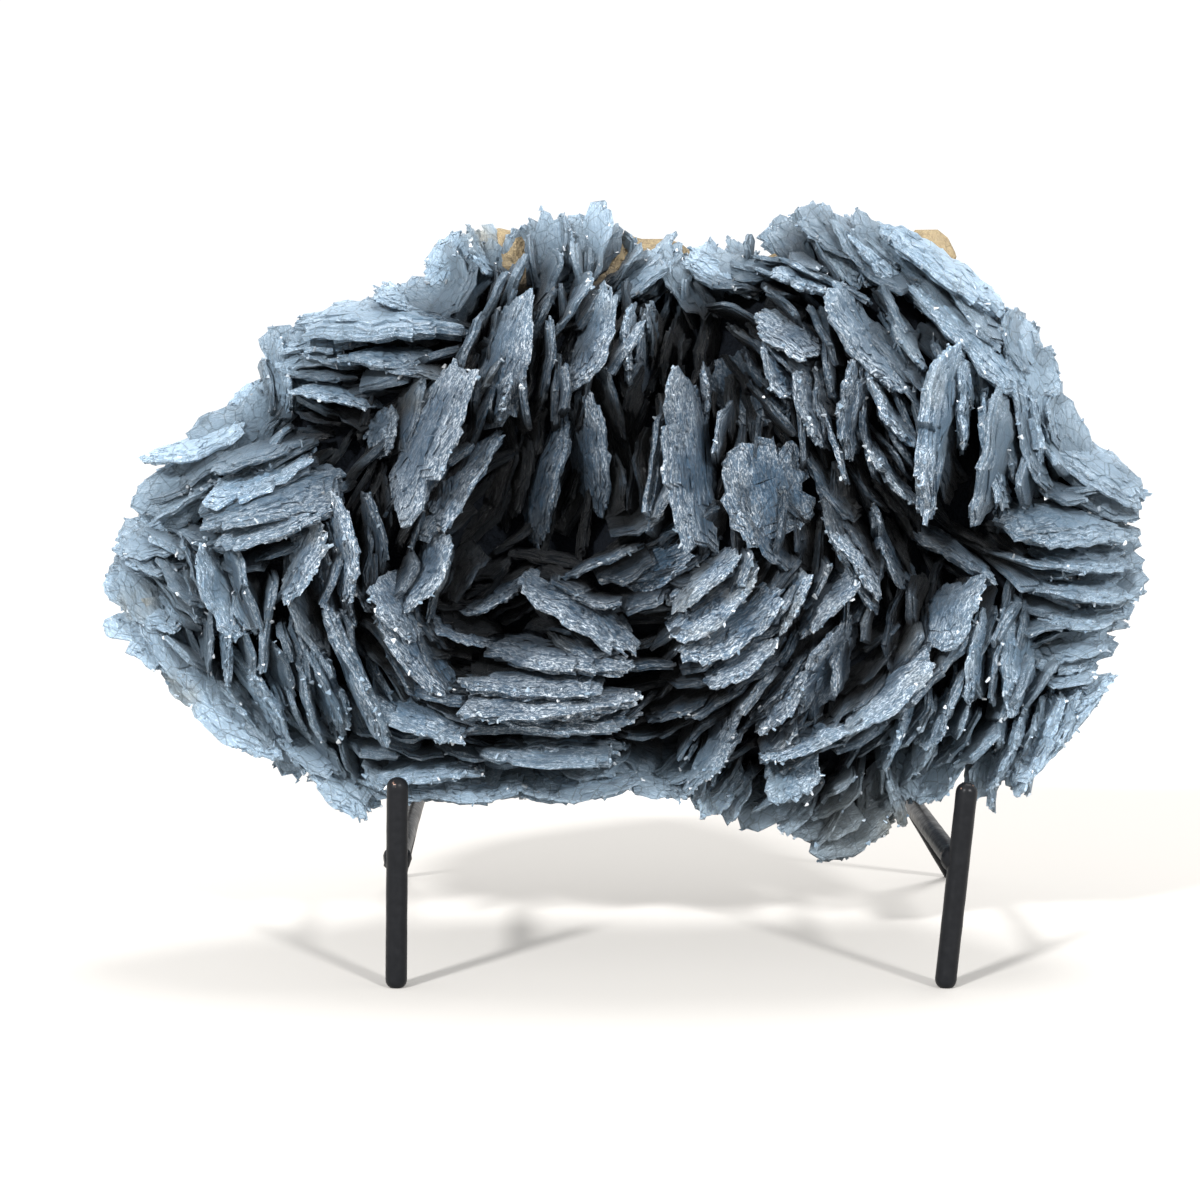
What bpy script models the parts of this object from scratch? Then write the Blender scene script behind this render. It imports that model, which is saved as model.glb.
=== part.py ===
"""A cluster of thin blue barite blades on matrix, resting on a stand welded from black rod.

Lengths in the tables are millimetres. +X is to the right, +Y away from the front, +Z up. Places are first
given from the middle of the front posts' feet, and everything is moved at the end, so that the origin is
the middle of the object's box at floor level.
"""

import math
import random

import bmesh
import bpy
from mathutils import Matrix, Vector, geometry

MM = 0.001
SEED = 5

# Stand: name, (start, end, diameter, which ends are rounded)
POST_DIAMETER = 4.2
REAR_DIAMETER = 3.2
ROD_SIDES = 10
ROD_MERGE = 0.004
ROD_SHARP_ANGLE = 40
RODS = {
    "front_post_left": ((-39.2, 0, -0.5), (-38.7, 0, 40.5), POST_DIAMETER, "both"),
    "front_post_right": ((66.3, 0, -0.5), (70.3, 0, 39.5), POST_DIAMETER, "both"),
    "seat_arm_left": ((-38.9, 2.5, 24.5), (-41.5, 107, 24), POST_DIAMETER, "end"),
    "seat_arm_right": ((67.8, 2.5, 24.5), (68.7, 107, 24), POST_DIAMETER, "end"),
    "rear_leg_left": ((-47.5, 118, -0.5), (-42.3, 105, 20.4), REAR_DIAMETER, "start"),
    "rear_leg_right": ((83.6, 118, -0.5), (70.8, 105, 20.4), REAR_DIAMETER, "start"),
    "back_upright_left": ((-41, 81.5, 27), (-39.5, 88.5, 96), REAR_DIAMETER, "end"),
    "back_upright_right": ((68.5, 81.5, 27), (67, 88.5, 96), REAR_DIAMETER, "end"),
    "rear_crossbar": ((-43, 88.7, 60), (71, 88.7, 60), REAR_DIAMETER, "both"),
}
# Rounded end of a rod: (share of the radius, distance from the tip as a share of the radius)
ROUNDED_END = [(0.45, 0.0), (0.8, 0.3), (1.0, 0.9)]
SEAT_CLEARANCE = 0.35

# Cluster: where a viewer at this height and distance sees the outline, on the plane of its widest section
EYE_HEIGHT = 112.4
EYE_DISTANCE = 500.0
WIDEST_DEPTH = 44.0
FRONT_BULGE = 28.0
FRONT_FULLNESS = 2.2
FRONT_ROUNDNESS = 0.6
BACK_BULGE = 34.0
BACK_FULLNESS = 4.5
HEART = (6.0, 86.0)
CRYSTAL_RIM = 9.5
CORE_RAYS = 24
CORE_RINGS = 5
CORE_SLACK = 4.0
BEYOND_OUTLINE = 300.0

# Outline seen from the front, (x, z), clockwise from the higher summit
OUTLINE = [
    (47, 154), (68, 147), (81, 135), (95, 127), (98, 110), (113, 97), (113, 74), (104, 58),
    (101, 40), (86, 30), (74, 35), (66, 27), (56, 17), (44, 22), (28, 26), (9, 33),
    (-12, 28), (-35, 28), (-51, 28), (-73, 40), (-93, 53), (-103, 73), (-97, 94), (-83, 106),
    (-70, 123), (-58, 131), (-36, 140), (-28, 147), (-11, 151), (2, 150), (16, 143), (35, 147),
]

# Recesses between the rosettes, (x, z, radius, depth)
RECESSES = [
    (20, 120, 15, 11), (5, 103, 13, 8), (-15, 92, 17, 12),
    (-20, 66, 15, 10), (70, 84, 17, 12), (-55, 104, 15, 6),
]

# Blades seen from the front, (x, z, length, seen width, heading in degrees from +X towards +Z)
BLADES = [
    # upper left shelf
    (-45, 128.5, 39, 8, -2), (-44.5, 121.5, 22, 4, -3), (-53.5, 114, 20, 4.5, -15), (-66, 117, 21.5, 6, -80),
    (-30, 140, 15, 12, 70), (-24.5, 142, 13, 2, -65), (-41.5, 133, 9, 4, -30), (-7, 141.5, 20, 16, 90),
    (-57, 125, 20, 6, 8), (-72, 110, 16, 10, 50),
    # upper middle
    (-20, 121, 30, 11, 80), (-1.5, 124.5, 24, 8.5, 75), (-2.5, 101, 28, 8, -85), (-35.5, 103.5, 37, 11, 66),
    (-29.5, 96, 29, 8, 55), (-11.5, 97, 31, 6, 73), (-44.5, 106, 10, 7, 60), (-20.5, 112.5, 10, 3.5, 85),
    (7.5, 137, 20, 11, 55), (26, 139, 21, 9.5, -35), (10, 122.5, 21, 5.5, 78), (6, 122.5, 18.5, 3, 85),
    (18.5, 100, 39, 11, -84), (22, 111.5, 14.5, 4.5, 80), (31, 114.5, 21, 16.5, -60),
    (34.5, 93, 23, 18.5, -75),
    # left lobe
    (-83, 103, 24, 5, 20), (-86, 93.5, 24, 15.5, 20), (-68, 92, 32, 8, 17), (-66, 87.5, 28, 6, 14),
    (-70, 96, 26, 6, 20), (-92.5, 80.5, 21, 8, -25), (-93, 71, 23, 10, -32), (-78, 73, 23, 6, -65),
    (-61.5, 79, 18.5, 8, 65), (-53, 82, 23, 6, -80), (-93, 63, 25, 12, -38), (-76, 48.5, 29, 11, -42),
    (-71, 52, 27, 10, -70), (-77.5, 63, 18.5, 4, 88), (-57, 53.5, 26, 8, -75), (-50.5, 55, 34, 3.5, -70),
    # lower middle
    (-38.5, 62, 28, 7.5, -57), (-41, 70, 17.5, 8, -55), (-36, 77, 18.5, 7, 60), (-37.5, 48, 24, 7.5, -22),
    (-28.5, 66, 17.5, 6, -20), (-21.5, 72, 15.5, 2.5, 28), (-3.5, 69.5, 28, 9, -32), (-9.5, 60, 35, 5.5, -8),
    (-12, 54.5, 34, 4, 1), (-11, 50.5, 38, 4, 2), (-8, 46.5, 33, 4, -2), (-10, 42, 30, 4, 3),
    (-36, 37, 27, 5, 6), (-28, 33, 27, 6, 5), (-4, 33.5, 27, 6, 1), (-53.5, 33, 20.5, 8, -42),
    # upper right
    (37, 117.5, 15.5, 5.5, -58), (39, 125.5, 16.5, 8, -35), (41, 137, 13, 5, -25), (55, 123.5, 29, 8, -53),
    (49.5, 144, 22.5, 10, -58), (57.5, 140.5, 19.5, 5, -45), (71, 139, 32, 7, -34), (75.5, 126, 37, 8, -47),
    (89, 116.5, 31, 12, -72), (69, 107, 40, 7.5, 80), (75, 112, 21.5, 4.5, 85), (81, 101, 27, 5.5, -82),
    (89.5, 105, 22, 4, 88), (51.5, 110.5, 21.5, 6, 85), (43.5, 110.5, 19.5, 6, -75),
    (59, 110.5, 19.5, 3.5, -55), (59.5, 97.5, 18.5, 3.5, -48), (53.5, 81, 20.5, 6, -50),
    (59, 82.5, 23.5, 4.5, -62), (74, 81, 24.5, 3.5, -34),
    # right lobe
    (102, 99, 26, 9, -30), (96, 87.5, 32, 9, -3), (99, 80, 26, 6, 0), (99, 74, 28, 7, 3),
    (99, 68.5, 27, 6, 5), (97, 61, 22, 9, 12), (87, 59, 27, 10, -84), (78, 59.5, 20, 5.5, 83),
    (71.5, 69.5, 20.5, 10, 60), (86, 42, 24, 4, 75), (90, 42, 25, 5, 66), (93, 44, 26, 5, 56),
    (96, 47, 24, 5, 45), (98, 51, 20, 5, 34),
    # lower right
    (12, 79.5, 16.5, 9.5, 33), (21, 76, 18.5, 5, 38), (24, 71, 22.5, 7, 38), (28, 66.5, 26, 10, 36),
    (29, 59, 20.5, 6, 38), (39.5, 71, 14.5, 3, 68), (47, 71.5, 19.5, 4.5, 50), (47.5, 58, 23.5, 11, 70),
    (42.5, 42.5, 19.5, 4.5, 22), (37.5, 50.5, 17.5, 4.5, 62), (23, 41.5, 22.5, 5.5, 60),
    (40.5, 36.5, 15.5, 12, 30), (58.5, 52, 26, 6.5, 42), (63.5, 47.5, 12.5, 2.5, 72),
    (70, 46.5, 14.5, 3.5, 57), (71, 36.5, 22, 9, 48), (54.5, 26, 20, 12, 38), (61, 32, 19, 3, -70),
    (9.5, 35, 20.5, 8, -15), (24.5, 33, 18.5, 9, 50),
]

# Proportions of a blade: (along, across) of its outline, thickness and least width as shares of its length.
# One face is narrower than the other, and each corner lies within a range of its place.
PLATE_OUTLINE = [(-0.5, -0.06), (-0.16, -0.48), (0.32, -0.38), (0.5, 0.08), (0.12, 0.5), (-0.36, 0.32)]
SMALL_OUTLINE = [(-0.5, 0.04), (-0.12, -0.5), (0.44, -0.22), (0.42, 0.26), (-0.06, 0.5)]
SMALL_LENGTH = 19.5
PLATE_TAPER = 0.86
CORNER_ALONG = (0.9, 1.08)
CORNER_ACROSS = (0.8, 1.15)
BLADE_THICKNESS = 0.075
LEAST_THICKNESS = 1.3
BLADE_ASPECT = 0.62
STANDOUT = 9.0
ROOT_DEPTH = 5.5
# How far a blade stands out of the core, how deep it is rooted there and how it follows the core's slope
SEEN_MARGIN = 1.06
LEAST_STAND = 0.6
SLOPE_STEP = 5.0
LEAN_SHARE = 0.75
LEAN_LIMIT = 0.9
UPRIGHT_LIMIT = 0.35

# A long blade has a shorter one beside it: its shares of the size, gap, drift, setback, swing in degrees
TWIN_LENGTH = 36.0
TWIN_SHARE = (0.78, 0.8, 0.8)
TWIN_GAP = (0.8, 1.8)
TWIN_DRIFT = 0.15
TWIN_SETBACK = 2.0
TWIN_SWING = 11.0

# Blades between those of the list: grid, least distance from a listed one, length, seen width, turn
FILL_SPACING = 14.0
FILL_COLUMNS = range(-12, 12)
FILL_ROWS = range(-7, 8)
FILL_CLEARANCE = 5.5
FILL_LENGTH = 19.0
FILL_SEEN_WIDTH = 5.0
FILL_TURN = 14.0

# Blades along the outline: number, distance inside it, length, seen width, turn
RIM_COUNT = 34
RIM_INSET = 6.2
RIM_LENGTH = 17.0
RIM_SEEN_WIDTH = 10.5
RIM_TURN = 12.0

# Rows of blades round the sides and the back edge: (depth, share of the outline, number, length)
SIDE_ROWS = [(52, 0.94, 15, 19), (63, 0.88, 13, 18), (72, 0.74, 8, 15)]
SIDE_ROOT = 0.36
SIDE_THICKENING = 0.3

# Broken matrix at the back and along the top edge, (x, y, z, half width, half depth, half height)
MATRIX_LUMPS = [
    (-40, 76, 55, 17, 9, 17), (68, 74, 56, 17, 10, 18), (-38, 75, 88, 18, 10, 15), (64, 76, 92, 18, 9, 16),
    (12, 76, 70, 26, 10, 24), (14, 74, 110, 24, 10, 20), (-66, 66, 72, 16, 10, 18), (90, 66, 76, 12, 9, 16),
    (10, 62, 136, 14, 12, 8), (-18, 64, 136, 12, 10, 10), (62, 64, 134, 14, 12, 11), (-14, 72, 44, 20, 9, 12),
    (36, 70, 46, 18, 10, 14), (-44, 66, 118, 15, 10, 12),
]
# Corners that a lump is broken to
LUMP_CORNERS = 18


def seen_at(x, z, y):
    """The point at depth y that a viewer in front sees at (x, z) of the widest section."""
    nearness = (EYE_DISTANCE + min(y, WIDEST_DEPTH)) / (EYE_DISTANCE + WIDEST_DEPTH)
    return Vector((x * nearness, y, EYE_HEIGHT + (z - EYE_HEIGHT) * nearness))


def reach(angle):
    """Distance from the heart to the outline at this angle."""
    heart = Vector(HEART)
    far = heart + Vector((math.cos(angle), math.sin(angle))) * BEYOND_OUTLINE
    hits = [
        geometry.intersect_line_line_2d(heart, far, Vector(a), Vector(b))
        for a, b in zip(OUTLINE, OUTLINE[1:] + OUTLINE[:1])
    ]
    return max((hit - heart).length for hit in hits if hit)


def front_depth(x, z):
    """Depth of the core's front, a bulge that meets the rim and sinks into the recesses."""
    place = Vector((x, z)) - Vector(HEART)
    share = min(1, place.length / (reach(math.atan2(place.y, place.x)) - CRYSTAL_RIM))
    depth = WIDEST_DEPTH - FRONT_BULGE * (1 - share ** FRONT_FULLNESS) ** FRONT_ROUNDNESS
    for rx, rz, radius, sunk in RECESSES:
        away = (Vector((x, z)) - Vector((rx, rz))).length / radius
        if away < 1:
            depth += sunk * (1 - away ** 2)
    return depth


def core_depth(x, z):
    """Depth of the core between the blades, the deepest near a place, so that its coarse facets hide none."""
    near = [(0, 0)] + [(CORE_SLACK * math.cos(a), CORE_SLACK * math.sin(a)) for a in range(6)]
    return max(front_depth(x + dx, z + dz) for dx, dz in near)


def back_depth(share):
    """Depth of the core's back, nearly flat, at a share of the way from the heart to the rim."""
    return WIDEST_DEPTH + BACK_BULGE * (1 - share ** BACK_FULLNESS)


def core_mesh(bm):
    """A closed body inside the outline, out of rings from the front pole to the back pole."""
    rings = []
    shares = [math.sin(0.5 * math.pi * (i + 1) / CORE_RINGS) for i in range(CORE_RINGS)]
    for front in (True, False):
        for share in shares if front else shares[-2::-1]:
            ring = []
            for ray in range(CORE_RAYS):
                angle = 2 * math.pi * ray / CORE_RAYS
                radius = (reach(angle) - CRYSTAL_RIM) * share
                x, z = HEART[0] + radius * math.cos(angle), HEART[1] + radius * math.sin(angle)
                y = core_depth(x, z) if front else back_depth(share)
                ring.append(bm.verts.new(seen_at(x, z, y)))
            rings.append(ring)
    poles = [
        bm.verts.new(seen_at(*HEART, core_depth(*HEART))),
        bm.verts.new((HEART[0], back_depth(0), HEART[1])),
    ]
    for ray in range(CORE_RAYS):
        after = (ray + 1) % CORE_RAYS
        bm.faces.new((poles[0], rings[0][ray], rings[0][after]))
        bm.faces.new((poles[1], rings[-1][after], rings[-1][ray]))
        for near, far in zip(rings, rings[1:]):
            bm.faces.new((near[ray], far[ray], far[after], near[after]))


def plate(centre, along, facing, length, width, thickness, rng):
    """One blade: an irregular pointed plate, one face of it narrower."""
    bm = bmesh.new()
    along = along.normalized()
    facing = (facing - along * facing.dot(along)).normalized()
    across = facing.cross(along)
    outline = [
        (u * length * rng.uniform(*CORNER_ALONG), v * width * rng.uniform(*CORNER_ACROSS))
        for u, v in (PLATE_OUTLINE if length > SMALL_LENGTH else SMALL_OUTLINE)
    ]
    layers = []
    for side, share in ((-0.5, PLATE_TAPER), (0.5, 1.0)):
        layers.append([
            bm.verts.new(centre + along * u * share + across * v * share + facing * side * thickness)
            for u, v in outline
        ])
    bottom, top = layers
    bm.faces.new(top)
    bm.faces.new(bottom[::-1])
    for i in range(len(outline)):
        after = (i + 1) % len(outline)
        bm.faces.new((bottom[i], bottom[after], top[after], top[i]))
    return object_from(bm, "blade")


def front_blades(x, z, length, seen_width, heading, rng):
    """A blade of the front, and beside a long one a shorter one."""
    turn = math.radians(heading)
    flow = Vector((math.cos(turn), 0, math.sin(turn)))
    rise = Vector((-math.sin(turn), 0, math.cos(turn)))
    ahead = front_depth(x + SLOPE_STEP * flow.x, z + SLOPE_STEP * flow.z)
    behind = front_depth(x - SLOPE_STEP * flow.x, z - SLOPE_STEP * flow.z)
    slope = max(-LEAN_LIMIT, min(LEAN_LIMIT, (ahead - behind) / (2 * SLOPE_STEP) * LEAN_SHARE))
    along = (flow + Vector((0, slope, 0))).normalized()
    width = max(BLADE_ASPECT * length, seen_width * SEEN_MARGIN)
    stand = math.sin(math.acos(seen_width / width))
    root = core_depth(x, z) + ROOT_DEPTH * stand
    width = max(width, (root - front_depth(x, z) + STANDOUT * stand) / max(stand, LEAST_STAND))
    tipped = math.acos(seen_width / width)
    upward = rise.z if abs(rise.z) > UPRIGHT_LIMIT else rise.x * (x - HEART[0])
    side = 1 if upward > 0 else -1
    facing = rise * side * math.sin(tipped) + Vector((0, -math.cos(tipped), 0))
    thickness = max(LEAST_THICKNESS, BLADE_THICKNESS * length)
    centre = seen_at(x, z, root - width / 2 * math.sin(tipped))
    blades = [plate(centre, along, facing, length, width, thickness, rng)]
    if length < TWIN_LENGTH:
        return blades
    offset = facing * rng.choice((-1, 1)) * (thickness + rng.uniform(*TWIN_GAP))
    shift = along * rng.uniform(-TWIN_DRIFT, TWIN_DRIFT) * length + Vector((0, TWIN_SETBACK, 0))
    swing = Matrix.Rotation(math.radians(rng.uniform(-TWIN_SWING, TWIN_SWING)), 3, facing)
    twin = [size * share for size, share in zip((length, width, thickness), TWIN_SHARE)]
    blades.append(plate(centre + offset + shift, swing @ along, facing, *twin, rng))
    return blades


def flow_heading(x, z):
    """Heading of the crystal growth at a place, from the listed blades near it."""
    east = north = 0
    for bx, bz, _, _, heading in BLADES:
        near = 1 / (4 + (x - bx) ** 2 + (z - bz) ** 2) ** 1.5
        east += near * math.cos(2 * math.radians(heading))
        north += near * math.sin(2 * math.radians(heading))
    return math.degrees(math.atan2(north, east)) / 2


def distance_to_blade(x, z, row):
    """Distance from a place to the long axis of a listed blade."""
    bx, bz, length, _, heading = row
    flow = Vector((math.cos(math.radians(heading)), math.sin(math.radians(heading))))
    offset = Vector((x - bx, z - bz))
    along = max(-0.45 * length, min(0.45 * length, offset.dot(flow)))
    return (offset - flow * along).length


def fill_blades(rng):
    """Blades that fill the gaps between the listed ones and follow their flow."""
    blades = []
    for i in FILL_COLUMNS:
        for j in FILL_ROWS:
            x = HEART[0] + (i + 0.5 * (j % 2) + rng.uniform(-0.2, 0.2)) * FILL_SPACING
            z = HEART[1] + (j + rng.uniform(-0.2, 0.2)) * FILL_SPACING
            place = Vector((x, z)) - Vector(HEART)
            if place.length > reach(math.atan2(place.y, place.x)) - CRYSTAL_RIM:
                continue
            if min(distance_to_blade(x, z, row) for row in BLADES) < FILL_CLEARANCE:
                continue
            heading = flow_heading(x, z) + rng.uniform(-FILL_TURN, FILL_TURN)
            length = FILL_LENGTH * rng.uniform(0.8, 1.2)
            blades += front_blades(x, z, length, FILL_SEEN_WIDTH * rng.uniform(0.6, 1.4), heading, rng)
    return blades


def rim_blades(rng):
    """Blades along the outline seen from the front."""
    blades = []
    for i in range(RIM_COUNT):
        angle = 2 * math.pi * (i + rng.uniform(-0.2, 0.2)) / RIM_COUNT
        radius = reach(angle) - RIM_INSET
        x, z = HEART[0] + radius * math.cos(angle), HEART[1] + radius * math.sin(angle)
        heading = flow_heading(x, z) + rng.uniform(-RIM_TURN, RIM_TURN)
        length = RIM_LENGTH * rng.uniform(0.85, 1.15)
        blades += front_blades(x, z, length, RIM_SEEN_WIDTH * rng.uniform(0.85, 1.1), heading, rng)
    return blades


def side_blades(rng):
    """Blades that stand out round the sides, between the front and the broken back."""
    blades = []
    for depth, share, number, length in SIDE_ROWS:
        for i in range(number):
            angle = 2 * math.pi * (i + rng.uniform(-0.3, 0.3)) / number
            radius = reach(angle) * share - length * SIDE_ROOT
            out = Vector((math.cos(angle), 0, math.sin(angle)))
            centre = Vector((HEART[0], depth, HEART[1])) + out * radius
            round_rim = out.cross(Vector((0, 1, 0)))
            along = out + round_rim * rng.uniform(-0.8, 0.8) + Vector((0, rng.uniform(-0.5, 0.5), 0))
            facing = round_rim * rng.choice((-1, 1)) + Vector((0, rng.uniform(-0.9, 0.9), 0))
            long = length * rng.uniform(0.85, 1.15)
            thickness = long * BLADE_THICKNESS + SIDE_THICKENING
            blades.append(plate(centre, along, facing, long, long * BLADE_ASPECT, thickness, rng))
    return blades


def matrix_lumps(rng):
    """Rough lumps of the matrix, angular like broken rock."""
    lumps = []
    for x, y, z, wide, deep, high in MATRIX_LUMPS:
        bm = bmesh.new()
        for _ in range(LUMP_CORNERS):
            ray = Vector((rng.gauss(0, 1), rng.gauss(0, 1), rng.gauss(0, 1))).normalized()
            bm.verts.new((x + ray.x * wide, y + ray.y * deep, z + ray.z * high))
        made = bmesh.ops.convex_hull(bm, input=bm.verts)
        inside = [item for item in made["geom_interior"] if isinstance(item, bmesh.types.BMVert)]
        bmesh.ops.delete(bm, geom=inside, context="VERTS")
        lumps.append(object_from(bm, "lump"))
    return lumps


def object_from(bm, name, material=None):
    """A mesh object in metres from a bmesh in millimetres, with its faces turned outwards."""
    bmesh.ops.recalc_face_normals(bm, faces=bm.faces)
    bmesh.ops.scale(bm, vec=(MM, MM, MM), verts=bm.verts)
    mesh = bpy.data.meshes.new(name)
    bm.to_mesh(mesh)
    bm.free()
    made = bpy.data.objects.new(name, mesh)
    bpy.context.scene.collection.objects.link(made)
    if material:
        mesh.materials.append(material)
    return made


def combine(target, tools, operation):
    """Applies a Boolean with every tool and removes the tools."""
    group = bpy.data.collections.new("tools")
    for tool in tools:
        group.objects.link(tool)
    modifier = target.modifiers.new(operation.title(), "BOOLEAN")
    modifier.operation = operation
    modifier.solver = "MANIFOLD"
    modifier.operand_type = "COLLECTION"
    modifier.collection = group
    bpy.context.view_layer.objects.active = target
    bpy.ops.object.modifier_apply(modifier=modifier.name)
    for tool in tools:
        bpy.data.objects.remove(tool)
    bpy.data.collections.remove(group)


def keep_largest(target):
    """Removes the sealed hollows and the chips that the Booleans leave."""
    bm = bmesh.new()
    bm.from_mesh(target.data)
    shells, seen = [], set()
    for start in bm.faces:
        if start in seen:
            continue
        shell, queue = {start}, [start]
        while queue:
            for edge in queue.pop().edges:
                beside = [face for face in edge.link_faces if face not in shell]
                shell.update(beside)
                queue.extend(beside)
        seen |= shell
        shells.append(shell)
    keep = max(shells, key=len)
    bmesh.ops.delete(bm, geom=[face for face in bm.faces if face not in keep], context="FACES")
    bm.to_mesh(target.data)
    bm.free()


def rod_mesh(bm, start, end, diameter, rounded):
    """A round bar, turned about its axis, that ends at the floor where it would reach below it."""
    start, end = Vector(start), Vector(end)
    radius = diameter / 2
    length = (end - start).length
    first = [(r * radius, h * radius) for r, h in ROUNDED_END]
    last = [(r * radius, length - h * radius) for r, h in ROUNDED_END[::-1]]
    if rounded not in ("start", "both"):
        first = [(radius, 0)]
    if rounded not in ("end", "both"):
        last = [(radius, length)]
    profile = [(0, 0)] + first + last + [(0, length)]
    verts = [bm.verts.new((r, 0, h)) for r, h in profile]
    edges = [bm.edges.new(pair) for pair in zip(verts, verts[1:])]
    turn = {"cent": (0, 0, 0), "axis": (0, 0, 1), "angle": 2 * math.pi, "steps": ROD_SIDES}
    bmesh.ops.spin(bm, geom=verts + edges, use_merge=True, **turn)
    bmesh.ops.remove_doubles(bm, verts=bm.verts, dist=ROD_MERGE)
    upright = Vector((0, 0, 1)).rotation_difference(end - start).to_matrix().to_4x4()
    bmesh.ops.transform(bm, matrix=Matrix.Translation(start) @ upright, verts=bm.verts)
    if start.z < 0:
        whole = list(bm.verts) + list(bm.edges) + list(bm.faces)
        floor = {"plane_co": (0, 0, 0), "plane_no": (0, 0, -1)}
        cut = bmesh.ops.bisect_plane(bm, geom=whole, clear_outer=True, **floor)
        rim = [item for item in cut["geom_cut"] if isinstance(item, bmesh.types.BMEdge)]
        bmesh.ops.contextual_create(bm, geom=rim)


def material(name, colour, roughness, metallic):
    made = bpy.data.materials.new(name)
    made.use_nodes = True
    shader = made.node_tree.nodes["Principled BSDF"]
    shader.inputs["Base Color"].default_value = (*colour, 1)
    shader.inputs["Roughness"].default_value = roughness
    shader.inputs["Metallic"].default_value = metallic
    made.diffuse_color = (*colour, 1)
    return made


def make_cluster():
    """Blades, core and matrix grown into one solid, with room for the rods that it rests on."""
    rng = random.Random(SEED)
    core = bmesh.new()
    core_mesh(core)
    cluster = object_from(core, "barite_cluster", material("blue_barite", (0.25, 0.34, 0.43), 0.4, 0.0))
    blades = [blade for row in BLADES for blade in front_blades(*row, rng)]
    blades += fill_blades(rng) + rim_blades(rng) + side_blades(rng)
    combine(cluster, matrix_lumps(rng) + blades, "UNION")
    rods = []
    for start, end, diameter, rounded in RODS.values():
        bm = bmesh.new()
        rod_mesh(bm, start, end, diameter + 2 * SEAT_CLEARANCE, rounded)
        rods.append(object_from(bm, "clearance"))
    combine(cluster, rods, "DIFFERENCE")
    keep_largest(cluster)
    return cluster


def make_stand():
    black = material("black_enamel", (0.012, 0.012, 0.014), 0.45, 0.0)
    rods = []
    for name, (start, end, diameter, rounded) in RODS.items():
        bm = bmesh.new()
        rod_mesh(bm, start, end, diameter, rounded)
        rod = object_from(bm, name, black)
        rod.data.shade_smooth()
        rod.data.set_sharp_from_angle(angle=math.radians(ROD_SHARP_ANGLE))
        rods.append(rod)
    return rods


def main():
    for item in list(bpy.data.objects):
        bpy.data.objects.remove(item)
    pieces = [make_cluster(), *make_stand()]
    corners = [vert.co for piece in pieces for vert in piece.data.vertices]
    low = [min(corner[i] for corner in corners) for i in range(3)]
    high = [max(corner[i] for corner in corners) for i in range(3)]
    specimen = bpy.data.objects.new("specimen", None)
    specimen.location = (-(low[0] + high[0]) / 2, -(low[1] + high[1]) / 2, -low[2])
    bpy.context.scene.collection.objects.link(specimen)
    for piece in pieces:
        piece.parent = specimen


main()
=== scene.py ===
import math
import random

import bmesh
import bpy
import numpy as np
from mathutils import Matrix, Vector, geometry, noise


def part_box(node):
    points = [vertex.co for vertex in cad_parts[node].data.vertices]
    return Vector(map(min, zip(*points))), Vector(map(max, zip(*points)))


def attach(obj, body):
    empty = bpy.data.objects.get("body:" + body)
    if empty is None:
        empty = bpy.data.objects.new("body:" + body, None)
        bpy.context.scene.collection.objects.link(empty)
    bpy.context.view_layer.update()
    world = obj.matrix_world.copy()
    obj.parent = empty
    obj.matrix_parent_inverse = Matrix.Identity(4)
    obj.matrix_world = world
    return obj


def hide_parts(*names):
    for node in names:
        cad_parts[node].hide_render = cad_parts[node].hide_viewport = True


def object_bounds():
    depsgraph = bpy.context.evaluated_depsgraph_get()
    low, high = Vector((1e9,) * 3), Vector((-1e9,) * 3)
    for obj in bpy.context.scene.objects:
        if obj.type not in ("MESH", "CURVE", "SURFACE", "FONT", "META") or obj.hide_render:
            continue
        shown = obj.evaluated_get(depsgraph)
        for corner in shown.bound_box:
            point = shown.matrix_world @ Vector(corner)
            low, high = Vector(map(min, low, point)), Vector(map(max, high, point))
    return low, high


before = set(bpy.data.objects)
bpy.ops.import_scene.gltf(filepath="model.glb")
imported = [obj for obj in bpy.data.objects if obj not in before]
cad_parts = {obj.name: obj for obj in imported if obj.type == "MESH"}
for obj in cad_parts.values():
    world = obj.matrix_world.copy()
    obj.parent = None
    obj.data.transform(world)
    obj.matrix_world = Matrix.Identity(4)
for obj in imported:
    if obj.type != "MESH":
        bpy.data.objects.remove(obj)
cad_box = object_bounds()

# A cluster of thin blue barite blades that rests on a stand of black rod.
# The tables are in millimetres, from the middle of the front posts' feet: +X right, +Y away, +Z up.

MM = 0.001
SEED = 11
BOX_MARGIN = 0.4

# Stand: start, end, diameter, which ends are rounded
POST_DIAMETER = 4.2
REAR_DIAMETER = 3.2
RODS = {
    "front_post_left": ((-39.2, 0, -0.5), (-38.7, 0, 40.5), POST_DIAMETER, "both"),
    "front_post_right": ((66.3, 0, -0.5), (70.3, 0, 39.5), POST_DIAMETER, "both"),
    "seat_arm_left": ((-38.9, 2.5, 24.5), (-41.5, 107, 24), POST_DIAMETER, "end"),
    "seat_arm_right": ((67.8, 2.5, 24.5), (68.7, 107, 24), POST_DIAMETER, "end"),
    "rear_leg_left": ((-47.5, 118, -0.5), (-42.3, 105, 20.4), REAR_DIAMETER, "start"),
    "rear_leg_right": ((83.6, 118, -0.5), (70.8, 105, 20.4), REAR_DIAMETER, "start"),
    "back_upright_left": ((-41, 81.5, 27), (-39.5, 88.5, 96), REAR_DIAMETER, "end"),
    "back_upright_right": ((68.5, 81.5, 27), (67, 88.5, 96), REAR_DIAMETER, "end"),
    "rear_crossbar": ((-43, 88.7, 60), (71, 88.7, 60), REAR_DIAMETER, "both"),
}
BAR_SIDES = 28
WAVE_LENGTH = 2.5
WAVE_THINNEST = 0.975
END_ROUNDING = 0.9
END_STEPS = 7
WORN_LENGTH = 5

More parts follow.
